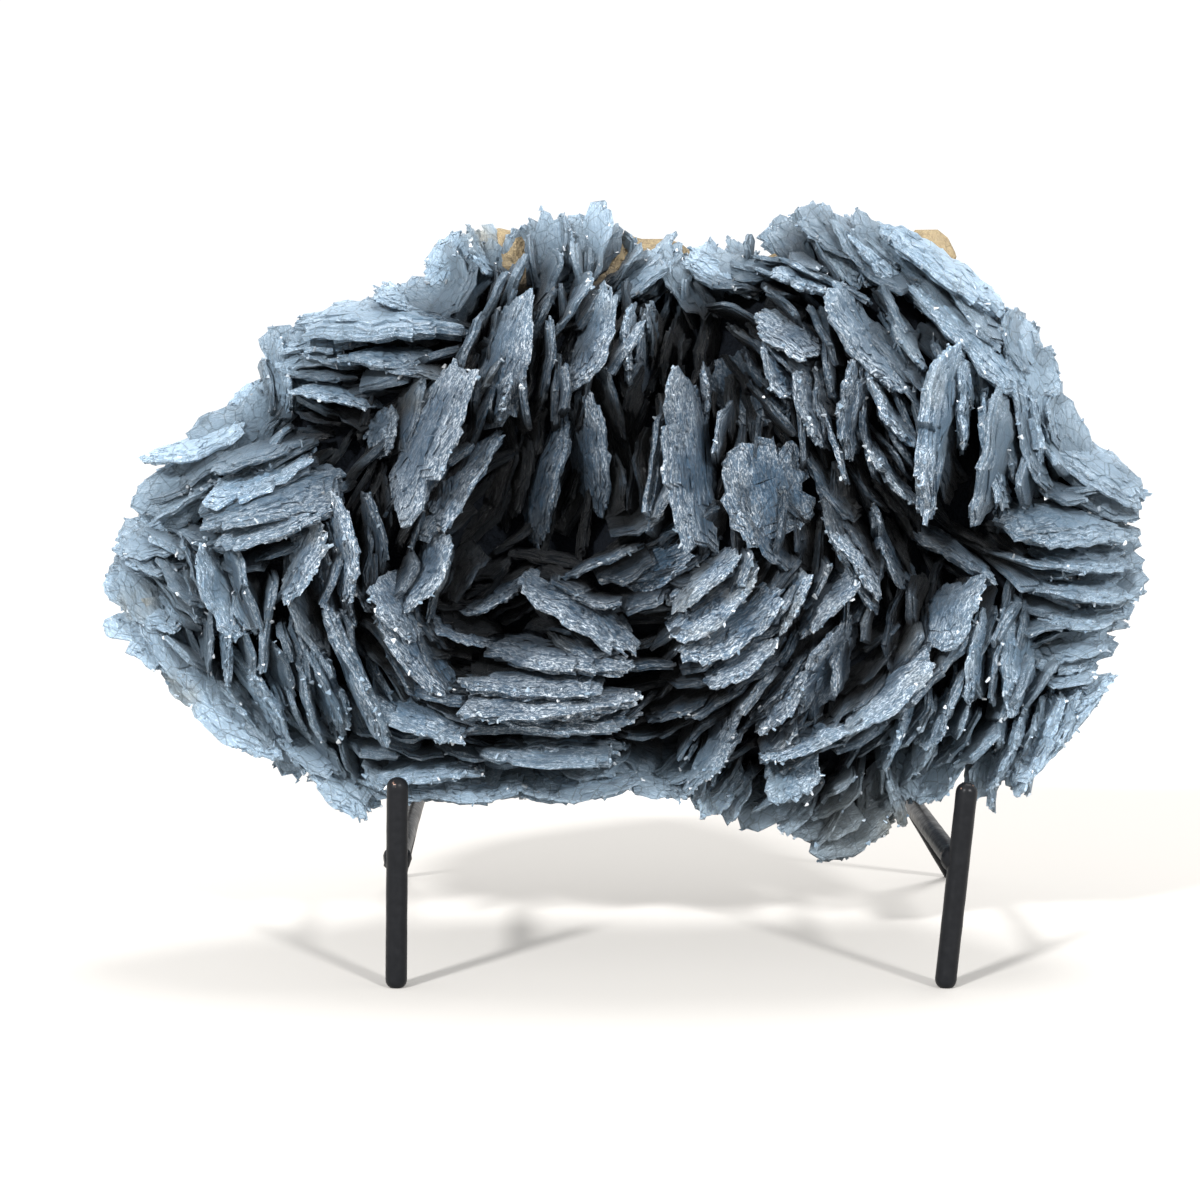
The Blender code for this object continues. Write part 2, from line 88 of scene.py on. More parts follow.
# Space kept free round a rod, and the half width of a rear rod's channel beyond that
ROD_CLEARANCE = 0.35
CHANNEL_MARGIN = 2.5

# Cluster: where a viewer at this height and distance sees the outline, on the plane of its widest section
EYE_HEIGHT = 112.4
EYE_DISTANCE = 500.0
WIDEST_DEPTH = 44.0
FRONT_BULGE = 28.0
FRONT_FULLNESS = 2.2
FRONT_ROUNDNESS = 0.6
BACK_BULGE = 34.0
BACK_FULLNESS = 4.5
HEART = (6.0, 86.0)
CRYSTAL_RIM = 9.5
CORE_SLACK = 4.0

# Outline seen from the front, (x, z), clockwise from the higher summit
OUTLINE = [
    (47, 154), (68, 147), (81, 135), (95, 127), (98, 110), (113, 97), (113, 74), (104, 58),
    (101, 40), (86, 30), (74, 35), (66, 27), (56, 17), (44, 22), (28, 26), (9, 33),
    (-12, 28), (-35, 28), (-51, 28), (-73, 40), (-93, 53), (-103, 73), (-97, 94), (-83, 106),
    (-70, 123), (-58, 131), (-36, 140), (-28, 147), (-11, 151), (2, 150), (16, 143), (35, 147),
]

# Recesses between the rosettes, (x, z, radius, depth)
RECESSES = [
    (20, 120, 15, 11), (5, 103, 13, 8), (-15, 92, 17, 12), (-20, 66, 15, 10), (70, 84, 17, 12),
    (-55, 104, 15, 6),
]

# Blades seen from the front, (x, z, length, seen width, heading in degrees from +X towards +Z)
BLADES = {
    "upper_left": [
        (-45, 128.5, 39, 8, -2), (-44.5, 121.5, 22, 4, -3), (-53.5, 114, 20, 4.5, -15),
        (-66, 117, 21.5, 6, -80), (-30, 140, 15, 12, 70), (-24.5, 142, 13, 2, -65),
        (-41.5, 133, 9, 4, -30), (-7, 141.5, 20, 16, 90), (-57, 125, 20, 6, 8), (-72, 110, 16, 10, 50),
    ],
    "upper_middle": [
        (-20, 121, 30, 11, 80), (-1.5, 124.5, 24, 8.5, 75), (-2.5, 101, 28, 8, -85),
        (-35.5, 103.5, 37, 11, 66), (-29.5, 96, 29, 8, 55), (-11.5, 97, 31, 6, 73),
        (-44.5, 106, 10, 7, 60), (-20.5, 112.5, 10, 3.5, 85), (7.5, 137, 20, 11, 55),
        (26, 139, 21, 9.5, -35), (10, 122.5, 21, 5.5, 78), (6, 122.5, 18.5, 3, 85),
        (18.5, 100, 39, 11, -84), (22, 111.5, 14.5, 4.5, 80), (31, 114.5, 21, 16.5, -60),
        (34.5, 93, 23, 18.5, -75),
    ],
    "left_lobe": [
        (-83, 103, 24, 5, 20), (-86, 93.5, 24, 15.5, 20), (-68, 92, 32, 8, 17), (-66, 87.5, 28, 6, 14),
        (-70, 96, 26, 6, 20), (-92.5, 80.5, 21, 8, -25), (-93, 71, 23, 10, -32), (-78, 73, 23, 6, -65),
        (-61.5, 79, 18.5, 8, 65), (-53, 82, 23, 6, -80), (-93, 63, 25, 12, -38),
        (-76, 48.5, 29, 11, -42), (-71, 52, 27, 10, -70), (-77.5, 63, 18.5, 4, 88),
        (-57, 53.5, 26, 8, -75), (-50.5, 55, 34, 3.5, -70),
    ],
    "lower_middle": [
        (-38.5, 62, 28, 7.5, -57), (-41, 70, 17.5, 8, -55), (-36, 77, 18.5, 7, 60),
        (-37.5, 48, 24, 7.5, -22), (-28.5, 66, 17.5, 6, -20), (-21.5, 72, 15.5, 2.5, 28),
        (-3.5, 69.5, 28, 9, -32), (-9.5, 60, 35, 5.5, -8), (-12, 54.5, 34, 4, 1), (-11, 50.5, 38, 4, 2),
        (-8, 46.5, 33, 4, -2), (-10, 42, 30, 4, 3), (-36, 37, 27, 5, 6), (-28, 33, 27, 6, 5),
        (-4, 33.5, 27, 6, 1), (-53.5, 33, 20.5, 8, -42),
    ],
    "upper_right": [
        (37, 117.5, 15.5, 5.5, -58), (39, 125.5, 16.5, 8, -35), (41, 137, 13, 5, -25),
        (55, 123.5, 29, 8, -53), (49.5, 144, 22.5, 10, -58), (57.5, 140.5, 19.5, 5, -45),
        (71, 139, 32, 7, -34), (75.5, 126, 37, 8, -47), (89, 116.5, 31, 12, -72),
        (69, 107, 40, 7.5, 80), (75, 112, 21.5, 4.5, 85), (81, 101, 27, 5.5, -82),
        (89.5, 105, 22, 4, 88), (51.5, 110.5, 21.5, 6, 85), (43.5, 110.5, 19.5, 6, -75),
        (59, 110.5, 19.5, 3.5, -55), (59.5, 97.5, 18.5, 3.5, -48), (53.5, 81, 20.5, 6, -50),
        (59, 82.5, 23.5, 4.5, -62), (74, 81, 24.5, 3.5, -34),
    ],
    "right_lobe": [
        (102, 99, 26, 9, -30), (96, 87.5, 32, 9, -3), (99, 80, 26, 6, 0), (99, 74, 28, 7, 3),
        (99, 68.5, 27, 6, 5), (97, 61, 22, 9, 12), (87, 59, 27, 10, -84), (78, 59.5, 20, 5.5, 83),
        (71.5, 69.5, 20.5, 10, 60), (86, 42, 24, 4, 75), (90, 42, 25, 5, 66), (93, 44, 26, 5, 56),
        (96, 47, 24, 5, 45), (98, 51, 20, 5, 34),
    ],
    "lower_right": [
        (12, 79.5, 16.5, 9.5, 33), (21, 76, 18.5, 5, 38), (24, 71, 22.5, 7, 38), (28, 66.5, 26, 10, 36),
        (29, 59, 20.5, 6, 38), (39.5, 71, 14.5, 3, 68), (47, 71.5, 19.5, 4.5, 50),
        (47.5, 58, 23.5, 11, 70), (42.5, 42.5, 19.5, 4.5, 22), (37.5, 50.5, 17.5, 4.5, 62),
        (23, 41.5, 22.5, 5.5, 60), (40.5, 36.5, 15.5, 12, 30), (58.5, 52, 26, 6.5, 42),
        (63.5, 47.5, 12.5, 2.5, 72), (70, 46.5, 14.5, 3.5, 57), (71, 36.5, 22, 9, 48),
        (54.5, 26, 20, 12, 38), (61, 32, 19, 3, -70), (9.5, 35, 20.5, 8, -15), (24.5, 33, 18.5, 9, 50),
    ],
}
ALL_BLADES = [row for rows in BLADES.values() for row in rows]

# How a listed blade's heading fades with distance
FLOW_SOFTNESS = 4
FLOW_FALLOFF = 1.5

# How a blade grows: its proportions, how far it stands out of the core, how it leans with the core's face
BLADE_THICKNESS = 0.075
LEAST_THICKNESS = 1.3
BLADE_ASPECT = 0.62
SEEN_MARGIN = 1.06
STANDOUT = 9.0
LEAST_STAND = 0.6
ROOT_DEPTH = 5.5
SLOPE_STEP = 5
LEAN_SHARE = 0.75
LEAN_LIMIT = 0.9
UPRIGHT_LIMIT = 0.35

# How copies of a pattern differ: bow and roll by size, waves, roughness. A copy pushed further is left out.
BOW = 0.08
ROLL = 0.12
WAVE_RATES = (0.5, 0.9)
WAVE_HEIGHT = 0.18
ROUGHNESS = 0.13
MOST_PUSH = 0.4

# Shorter blades beside a listed one: gaps by its thickness, sizes by its own, turn and tip in degrees
LISTED_THICKER = 1.35
FLAT_LIMIT = 0.45
BESIDE_STEPS = 2
BESIDE_GAPS = (1.1, 2.3)
BESIDE_MISSING = 0.2
BESIDE_SIZES = (0.55, 0.9)
BESIDE_TURN = 20
BESIDE_TIP = 15
BESIDE_SHORT = 12
OUTLINE_SHARE = 0.95

# Blades in the gaps between the listed ones: spacing, least and most sink of each layer
FILL_LAYERS = ((8.5, 0.5, 4.0), (7.5, 4.0, 8.0))
FILL_COLUMNS = 20
FILL_ROWS = 13
FILL_SHIFT = 0.35
FILL_LENGTHS = (11, 22)
FILL_SEEN = (2, 7)
FILL_WIDTH = 0.75
FILL_THICKNESS = (1.1, 2.0)
FILL_SHORT = 18
DEEP_RECESS = 4

# Blades that make the outline: inset and sink of each layer
RIM_LAYERS = ((6.5, -2), (7.5, 5))
RIM_NUMBER = 96
RIM_LENGTHS = (14, 23)
RIM_SEEN = (0.45, 0.7)
RIM_WIDTH = 0.85
RIM_THICKNESS = (0.8, 1.5)
RIDGE_BARE = 6

# Blades round the sides: depth, share of the outline, number, length
SIDE_ROWS = [
    (50, 0.96, 60, 17), (57, 0.92, 56, 17), (64, 0.86, 50, 16), (71, 0.76, 44, 14),
    (77, 0.66, 34, 12), (79, 0.46, 26, 12), (80, 0.26, 14, 12),
]
SIDE_INSET = 0.36

# Chips on the blades' rims: how far out and how deep in they stand, and their sizes
CHIP_NUMBER = 6000
CHIP_ZONE = 0.8
CHIP_DEPTH = 0.5
CHIP_TAPER = (0.35, 0.7, 1)
CHIP_WIDTHS = (0.5, 1.4)
CHIP_THICKNESS = (0.3, 0.8)
CHIP_LENGTHS = (0.5, 1.5)

# Painted light and shade: depth at which the painted shade in the gaps is darkest, and where the painted
# pale backlight along the outline starts
PAINTED_SHADE_DEPTH = 13
BORDER_START = 0.73
BORDER_WIDER = 0.15
# Shares of the painted shade that are lifted in the border and behind the widest section
BORDER_LIGHT = 0.7
BEHIND_LIGHT = 0.85

# Broken matrix at the back and along the top edge, (x, y, z, half width, half depth, half height)
MATRIX_LUMPS = [
    (-40, 76, 55, 17, 9, 17), (68, 74, 56, 17, 10, 18), (-38, 75, 88, 18, 10, 15),
    (64, 76, 92, 18, 9, 16), (12, 76, 70, 26, 10, 24), (14, 74, 110, 24, 10, 20),
    (-66, 66, 72, 16, 10, 18), (90, 66, 76, 12, 9, 16), (10, 62, 136, 14, 12, 8),
    (-18, 64, 136, 12, 10, 10), (62, 64, 134, 14, 12, 11), (-14, 72, 44, 20, 9, 12),
    (36, 70, 46, 18, 10, 14), (-44, 66, 118, 15, 10, 12),
]

# Tan matrix that shows between the blades on the top edge, as above
RIDGE_LUMPS = [
    (5, 55, 140, 6, 5, 5), (12, 56, 139, 6, 5, 5.5), (69, 56, 141, 6, 6, 6), (-20, 56, 141, 6, 6, 5),
]

# Coloured places seen from the front, (x, z, radius)
BROWN_LOBE = (53, 25, 17)
AMBER_STAINS = [(-95, 71, 5), (-87, 52, 6), (63, 24, 6), (-24, 146, 5)]

ROCK_CORE_SINK = 4.5
ROCK_VOXEL = 1.9
ROCK_KEPT = 0.3
# Depth before which the rock is coloured near-black as painted shade between the blades
ROCK_PAINTED_SHADE_DEPTH = 49

# Beads of weld, and the rods that are welded to another
WELD_SIZE = 1.3
WELD_PLACE = 0.58
WELD_LUMPS = 0.14
WELDS = [(f"{rod}_{side}", f"{other}_{side}") for side in ("left", "right") for rod, other in (
    ("seat_arm", "front_post"), ("rear_leg", "seat_arm"), ("back_upright", "seat_arm"),
)] + [("rear_crossbar", f"back_upright_{side}") for side in ("left", "right")]

# Camera, and suns: name, turn, height, strength, softness
LENS = 79.1
SENSOR = 36
CAMERA_TILT = 4.336
SUNS = (("light_left", -32, 30, 4.4, 6), ("light_right", 30, 27, 3.2, 6), ("light_top", 160, 66, 2.6, 25))
SURROUND = 1.08


def frame_shift():
    """Where the middle of the front posts' feet is in the frame, in metres."""
    bar_low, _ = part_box("rear_crossbar")
    post_low, post_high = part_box("front_post_left")
    return Vector((bar_low.x - RODS["rear_crossbar"][0][0] * MM, (post_low.y + post_high.y) / 2, 0))


SHIFT = frame_shift()
LOW_LIMIT = (np.array(cad_box[0]) - np.array(SHIFT)) / MM + BOX_MARGIN
HIGH_LIMIT = (np.array(cad_box[1]) - np.array(SHIFT)) / MM - BOX_MARGIN


def read_points(mesh, kind="co"):
    """The places or the normals of a mesh's vertices."""
    flat = np.empty(len(mesh.vertices) * 3)
    mesh.vertices.foreach_get(kind, flat)
    return flat.reshape(-1, 3)


def write_points(mesh, points):
    """Puts a mesh's vertices at points given in the tables' millimetres."""
    mesh.vertices.foreach_set("co", (points * MM + np.array(SHIFT)).ravel())


def in_tables(points):
    """Points of the frame in the tables' millimetres."""
    return (points - np.array(SHIFT)) / MM


def store(mesh, name, values):
    """Keeps a vector for each vertex, for the material to read."""
    kept = mesh.attributes.get(name) or mesh.attributes.new(name, "FLOAT_VECTOR", "POINT")
    kept.data.foreach_set("vector", np.asarray(values, np.float32).ravel())


def stored(mesh, name):
    """The vectors that are kept for a mesh's vertices."""
    flat = np.empty(len(mesh.vertices) * 3, np.float32)
    mesh.attributes[name].data.foreach_get("vector", flat)
    return flat.reshape(-1, 3)


def seen_at(x, z, y):
    """The point at depth y that a viewer in front sees at (x, z) of the widest section."""
    nearness = (EYE_DISTANCE + min(y, WIDEST_DEPTH)) / (EYE_DISTANCE + WIDEST_DEPTH)
    return Vector((x * nearness, y, EYE_HEIGHT + (z - EYE_HEIGHT) * nearness))


def reach(angle):
    """Distance from the heart to the outline at this angle."""
    heart = Vector(HEART)
    far = heart + Vector((math.cos(angle), math.sin(angle))) * 300
    hits = [
        geometry.intersect_line_line_2d(heart, far, Vector(a), Vector(b))
        for a, b in zip(OUTLINE, OUTLINE[1:] + OUTLINE[:1])
    ]
    return max((hit - heart).length for hit in hits if hit)


def share_of_outline(x, z, inset=0.0):
    """How far out a place lies, 0 at the heart and 1 at the outline less the inset."""
    place = Vector((x, z)) - Vector(HEART)
    return place.length / (reach(math.atan2(place.y, place.x)) - inset)


def front_depth(x, z, sunken=True):
    """Depth of the core's front, a bulge that meets the rim and sinks into the recesses."""
    share = min(1, share_of_outline(x, z, CRYSTAL_RIM))
    depth = WIDEST_DEPTH - FRONT_BULGE * (1 - share ** FRONT_FULLNESS) ** FRONT_ROUNDNESS
    for rx, rz, radius, sunk in RECESSES if sunken else []:
        away = (Vector((x, z)) - Vector((rx, rz))).length / radius
        if away < 1:
            depth += sunk * (1 - away ** 2)
    return depth


def core_depth(x, z):
    """Depth of the core between the blades, the deepest near a place."""
    near = [(0, 0)] + [(CORE_SLACK * math.cos(a), CORE_SLACK * math.sin(a)) for a in range(6)]
    return max(front_depth(x + dx, z + dz) for dx, dz in near)


def back_depth(share):
    """Depth of the core's back, nearly flat, at a share of the way from the heart to the rim."""
    return WIDEST_DEPTH + BACK_BULGE * (1 - share ** BACK_FULLNESS)


def flow_heading(x, z):
    """Heading of the crystal growth at a place, from the listed blades near it."""
    east = north = 0
    for bx, bz, _, _, heading in ALL_BLADES:
        near = 1 / (FLOW_SOFTNESS + (x - bx) ** 2 + (z - bz) ** 2) ** FLOW_FALLOFF
        east += near * math.cos(2 * math.radians(heading))
        north += near * math.sin(2 * math.radians(heading))
    return math.degrees(math.atan2(north, east)) / 2


# Blade patterns, in a unit cube: length along X, width along Y, thickness along Z.
# Number, corners, heights of the terraces above and below the middle, raggedness

PATTERNS = {
    "large": (14, 52, [0.1, 0.24, 0.38, 0.5], [0.1, 0.28, 0.5], 0.19),
    "middling": (12, 26, [0.14, 0.34, 0.5], [0.14, 0.5], 0.2),
    "small": (14, 14, [0.2, 0.5], [0.2, 0.5], 0.24),
}
POINTS = (0.28, 0.6)
TIP_CHANGE = (0.75, 1.25)
CORNER_SHIFT = 0.3
NOTCH_DEPTH = 0.22
NOTCH_CHANCE = 0.12
STEP_SHARE = 0.8
BROKEN_ENDS = (0.38, 0.62)
END_SLANT = 0.3
END_ROUGHNESS = 0.02
INSET = 0.0001
TERRACE_LEAN = 0.12
CRUST_HEIGHT = 0.3
CRUST_SIZE = 0.9
TERRACE_SIZE = 0.7
TOP_SIZE = 0.5
TOP_RISE = 0.06


def ragged_edge(corners, point, ragged, rng):
    """Corners of a blade's outline: point is 0.5 for round ends and 1 for sharp ones."""
    edge = []
    tips = [point * rng.uniform(*TIP_CHANGE) for _ in range(2)]
    for i in range(corners):
        turn = 2 * math.pi * (i + rng.uniform(-CORNER_SHIFT, CORNER_SHIFT)) / corners
        u = 0.5 * math.cos(turn)
        v = 0.5 * math.copysign(abs(math.sin(turn)) ** (2 * tips[u > 0]), math.sin(turn))
        worn = 1 - ragged * rng.random() ** 2
        if rng.random() < NOTCH_CHANCE:
            worn -= NOTCH_DEPTH * rng.random()
        edge.append([u * worn, v * worn])
    for here, after in zip(edge[::2], edge[1::2]):
        after[1] += STEP_SHARE * (here[1] - after[1])
    for way in (-1, 1):
        broken, slant = rng.uniform(*BROKEN_ENDS), rng.uniform(-END_SLANT, END_SLANT)
        for corner in edge:
            limit = broken + slant * corner[1] + rng.uniform(-END_ROUGHNESS, END_ROUGHNESS)
            corner[0] = way * min(way * corner[0], limit)
    return edge


def grow_terraces(blade_mesh, way, heights, rng):
    """Steps a blade's face outwards, each terrace smaller than the one below."""
    bm = bmesh.from_edit_mesh(blade_mesh)
    bpy.ops.mesh.select_all(action="DESELECT")
    cap = max(bm.faces, key=lambda face: way * face.calc_center_median().z)
    cap.select_set(True)
    bmesh.update_edit_mesh(blade_mesh)
    for low, high in zip(heights, heights[1:]):
        bpy.ops.mesh.inset(thickness=INSET)
        lean = [rng.uniform(-TERRACE_LEAN, TERRACE_LEAN) for _ in range(2)] + [way * low]
        least = CRUST_SIZE if low < CRUST_HEIGHT else TERRACE_SIZE
        size = (rng.uniform(least, least + 0.08), rng.uniform(least - 0.04, least + 0.06), 1)
        bpy.ops.transform.resize(value=size, center_override=lean)
        bm = bmesh.from_edit_mesh(blade_mesh)
        for vert in bm.verts:
            if vert.select:
                vert.co.x *= rng.uniform(0.94, 1.02)
                vert.co.y *= rng.uniform(0.9, 1.04)
        bmesh.update_edit_mesh(blade_mesh)
        bpy.ops.mesh.extrude_region_move(TRANSFORM_OT_translate={"value": (0, 0, way * (high - low))})
    bpy.ops.mesh.inset(thickness=INSET)
    bpy.ops.transform.resize(value=(TOP_SIZE, TOP_SIZE, 1), center_override=(0, 0, way * heights[-1]))
    bpy.ops.transform.translate(value=(0, 0, way * TOP_RISE))


def carve_blade(name, corners, up, down, point, ragged, rng):
    """One blade pattern: a ragged lens, terraced on both faces."""
    bpy.ops.object.select_all(action="DESELECT")
    bpy.ops.mesh.primitive_circle_add(vertices=corners, radius=0.5, fill_type="NGON")
    blade = bpy.context.object
    blade.name = name
    bpy.ops.object.mode_set(mode="EDIT")
    bm = bmesh.from_edit_mesh(blade.data)
    for vert, (u, v) in zip(bm.verts, ragged_edge(corners, point, ragged, rng)):
        vert.co = (u, v, -up[0])
    bmesh.update_edit_mesh(blade.data)
    bpy.ops.mesh.select_all(action="SELECT")
    bpy.ops.mesh.extrude_region_move(TRANSFORM_OT_translate={"value": (0, 0, 2 * up[0])})
    grow_terraces(blade.data, 1, up, rng)
    grow_terraces(blade.data, -1, down, rng)
    bpy.ops.mesh.select_all(action="SELECT")
    bpy.ops.mesh.normals_make_consistent(inside=False)
    bpy.ops.object.mode_set(mode="OBJECT")
    return blade


def blade_patterns(rng):
    """The patterns for large, middling and small blades."""
    patterns = {}
    for kind, (number, corners, up, down, ragged) in PATTERNS.items():
        patterns[kind] = [
            carve_blade(f"{kind}_pattern_{i}", corners, up, down, rng.uniform(*POINTS), ragged, rng)
            for i in range(number)
        ]
    return patterns


def away_from_rod(name, points):
    """The nearest places on a rod's axis, the way from them to the points, and the rod's room."""
    start, end, diameter, _ = RODS[name]
    start, end = np.array(start), np.array(end)
    line = end - start
    share = np.clip((points - start) @ line / (line @ line), 0, 1)
    nearest = start + share[:, None] * line
    return nearest, points - nearest, diameter / 2 + ROD_CLEARANCE


def clear_of_rods(points):
    """How far a set of points has to move to clear the stand, in millimetres."""
    push = Vector((0, 0, 0))
    for name in RODS:
        _, away, room = away_from_rod(name, points)
        distance = np.linalg.norm(away, axis=1)
        nearest = int(distance.argmin())
        if distance[nearest] < room:
            push += Vector(away[nearest]).normalized() * (room - distance[nearest])
    return push


def within_box(points):
    """How far a set of points has to move to be inside the frame's box, in millimetres."""
    return Vector(np.maximum(LOW_LIMIT - points.min(0), 0) - np.maximum(points.max(0) - HIGH_LIMIT, 0))


def set_blade(pattern, centre, along, facing, size, tone, rng, shown=0.0):
    """A copy of a pattern, grown at its place in the cluster: size is length, width and thickness."""
    along = along.normalized()
    facing = (facing - along * facing.dot(along)).normalized()
    axes = np.array([along, facing.cross(along), facing])
    mesh = pattern.data.copy()
    unit = read_points(mesh)
    local = unit * np.array(size)
    bow, roll = rng.uniform(-BOW, BOW) * size[0], rng.uniform(-ROLL, ROLL) * size[1]
    local[:, 2] += bow * 4 * unit[:, 0] ** 2 + roll * 4 * unit[:, 0] * unit[:, 1]
    local += np.sin(local[:, [1, 2, 0]] * rng.uniform(*WAVE_RATES) + rng.uniform(0, 6)) * WAVE_HEIGHT
    local += np.random.default_rng(rng.randrange(1 << 30)).normal(0, ROUGHNESS, local.shape)
    points = np.array(centre) + local @ axes
    push = clear_of_rods(points) + within_box(points)
    if push.length > size[0] * MOST_PUSH:
        bpy.data.meshes.remove(mesh)
        return None
    write_points(mesh, points + np.array(push))
    grain = local + np.array([rng.uniform(0, 400) for _ in range(3)])
    store(mesh, "leaf", unit * 2)
    store(mesh, "grain", grain)
    store(mesh, "tone", np.tile([tone, rng.random(), shown], (len(unit), 1)))
    blade = bpy.data.objects.new("blade", mesh)
    bpy.context.scene.collection.objects.link(blade)
    return blade


def seat(x, z, length, seen_width, heading, sink=0.0):
    """Where a blade that is seen at (x, z) grows: centre, along, facing, size."""
    turn = math.radians(heading)
    flow = Vector((math.cos(turn), 0, math.sin(turn)))
    rise = Vector((-math.sin(turn), 0, math.cos(turn)))
    ahead = front_depth(x + SLOPE_STEP * flow.x, z + SLOPE_STEP * flow.z)
    behind = front_depth(x - SLOPE_STEP * flow.x, z - SLOPE_STEP * flow.z)
    slope = max(-LEAN_LIMIT, min(LEAN_LIMIT, (ahead - behind) / (2 * SLOPE_STEP) * LEAN_SHARE))
    along = (flow + Vector((0, slope, 0))).normalized()
    width = max(BLADE_ASPECT * length, seen_width * SEEN_MARGIN)
    stand = math.sin(math.acos(seen_width / width))
    root = core_depth(x, z) + ROOT_DEPTH * stand
    width = max(width, (root - front_depth(x, z) + STANDOUT * stand) / max(stand, LEAST_STAND))
    tipped = math.acos(seen_width / width)
    upward = rise.z if abs(rise.z) > UPRIGHT_LIMIT else rise.x * (x - HEART[0])
    side = 1 if upward > 0 else -1
    facing = rise * side * math.sin(tipped) + Vector((0, -math.cos(tipped), 0))
    thickness = max(LEAST_THICKNESS, BLADE_THICKNESS * length)
    centre = seen_at(x, z, root - width / 2 * math.sin(tipped) + sink)
    return centre, along, facing, (length, width, thickness)


def swung(along, facing, degrees, tip_degrees):
    """The same directions, turned about the face and tipped about the length."""
    along = Matrix.Rotation(math.radians(degrees), 3, facing) @ along
    facing = Matrix.Rotation(math.radians(tip_degrees), 3, along) @ facing
    return along, facing


def region_blades(rows, patterns, rng):
    """The listed blades of one region, each with shorter ones beside it and behind it."""
    blades = []
    for row in rows:
        centre, along, facing, size = seat(*row)
        length, width, thickness = size
        tone = rng.random()
        heavy = (length, width, thickness * LISTED_THICKER)
        pattern = rng.choice(patterns["large"])
        blades.append(set_blade(pattern, centre, along, facing, heavy, tone, rng, 1.0))
        turned_to_viewer = -facing.y
        for side in (-1, 1):
            if side > 0 and turned_to_viewer > FLAT_LIMIT:
                continue
            apart = thickness * 0.4
            for _ in range(BESIDE_STEPS):
                apart += thickness * rng.uniform(*BESIDE_GAPS)
                if rng.random() < BESIDE_MISSING:
                    continue
                smaller = rng.uniform(*BESIDE_SIZES)
                back = Vector((0, 1.5 + rng.uniform(0.4, 1.2) * apart * 0.7, 0))
                drift = along * rng.uniform(-0.25, 0.25) * length + back
                turn = rng.uniform(-BESIDE_TURN, BESIDE_TURN)
                turned = swung(along, facing, turn, rng.uniform(-BESIDE_TIP, BESIDE_TIP))
                beside = (length * smaller, width * smaller, thickness * rng.uniform(0.5, 0.85))
                place = centre + facing * side * apart + drift
                if share_of_outline(place.x, place.z) > OUTLINE_SHARE:
                    continue
                kind = "middling" if beside[0] > BESIDE_SHORT else "small"
                blades.append(set_blade(rng.choice(patterns[kind]), place, *turned, beside, tone, rng))
    return blades


def filling_blades(patterns, rng):
    """Small blades in the gaps between the listed ones, which follow their flow."""
    blades = []
    for layer, (spacing, least_sink, most_sink) in enumerate(FILL_LAYERS):
        for i in range(-FILL_COLUMNS, FILL_COLUMNS):
            for j in range(-FILL_ROWS, FILL_ROWS):
                x = HEART[0] + (i + 0.5 * (j % 2) + rng.uniform(-FILL_SHIFT, FILL_SHIFT)) * spacing
                z = HEART[1] + (j + rng.uniform(-FILL_SHIFT, FILL_SHIFT)) * spacing
                if share_of_outline(x, z, CRYSTAL_RIM * 0.6) > 1:
                    continue
                if layer == 0 and front_depth(x, z) - front_depth(x, z, False) > DEEP_RECESS:
                    continue
                heading = flow_heading(x, z) + rng.uniform(-24, 24)
                length = rng.uniform(*FILL_LENGTHS)
                sink = rng.uniform(least_sink, most_sink)
                centre, along, facing, size = seat(x, z, length, rng.uniform(*FILL_SEEN), heading, sink)
                along, facing = swung(along, facing, rng.uniform(-10, 10), rng.uniform(-15, 15))
                size = (size[0], size[1] * FILL_WIDTH, rng.uniform(*FILL_THICKNESS))
                pattern = rng.choice(patterns["middling" if length > FILL_SHORT else "small"])
                blades.append(set_blade(pattern, centre, along, facing, size, rng.random(), rng))
    return blades


def rim_blades(patterns, rng):
    """Broad thin blades that make the outline."""
    blades = []
    for i in range(RIM_NUMBER):
        angle = 2 * math.pi * (i + rng.uniform(-0.5, 0.5)) / RIM_NUMBER
        for inset, sink in RIM_LAYERS:
            radius = reach(angle) - inset - rng.uniform(0, 2.5)
            x, z = HEART[0] + radius * math.cos(angle), HEART[1] + radius * math.sin(angle)
            if min(math.hypot(x - lump[0], z - lump[2]) for lump in RIDGE_LUMPS) < RIDGE_BARE:
                continue
            heading = flow_heading(x, z) + rng.uniform(-25, 25)
            length = rng.uniform(*RIM_LENGTHS)
            seen_width = length * rng.uniform(*RIM_SEEN)
            centre, along, facing, size = seat(x, z, length, seen_width, heading, sink)
            size = (length, size[1] * RIM_WIDTH, rng.uniform(*RIM_THICKNESS))
            pattern = rng.choice(patterns["middling"])
            blades.append(set_blade(pattern, centre, along, facing, size, rng.random(), rng))
    return blades


def side_blades(patterns, rng):
    """Blades that stand out round the sides, between the front and the broken back."""
    blades = []
    for depth, share, number, length in SIDE_ROWS:
        for i in range(number):
            angle = 2 * math.pi * (i + rng.uniform(-0.3, 0.3)) / number
            radius = reach(angle) * share - length * SIDE_INSET
            out = Vector((math.cos(angle), 0, math.sin(angle)))
            centre = Vector((HEART[0], depth + rng.uniform(-3, 3), HEART[1])) + out * radius
            round_rim = out.cross(Vector((0, 1, 0)))
            along = out + round_rim * rng.uniform(-0.8, 0.8) + Vector((0, rng.uniform(-0.5, 0.5), 0))
            facing = round_rim * rng.choice((-1, 1)) + Vector((0, rng.uniform(-0.9, 0.9), 0))
            long = length * rng.uniform(0.7, 1.15)
            size = (long, long * BLADE_ASPECT, long * 0.07 + 0.3)
            pattern = rng.choice(patterns["middling"])
            blades.append(set_blade(pattern, centre, along, facing, size, rng.random(), rng))
    return blades


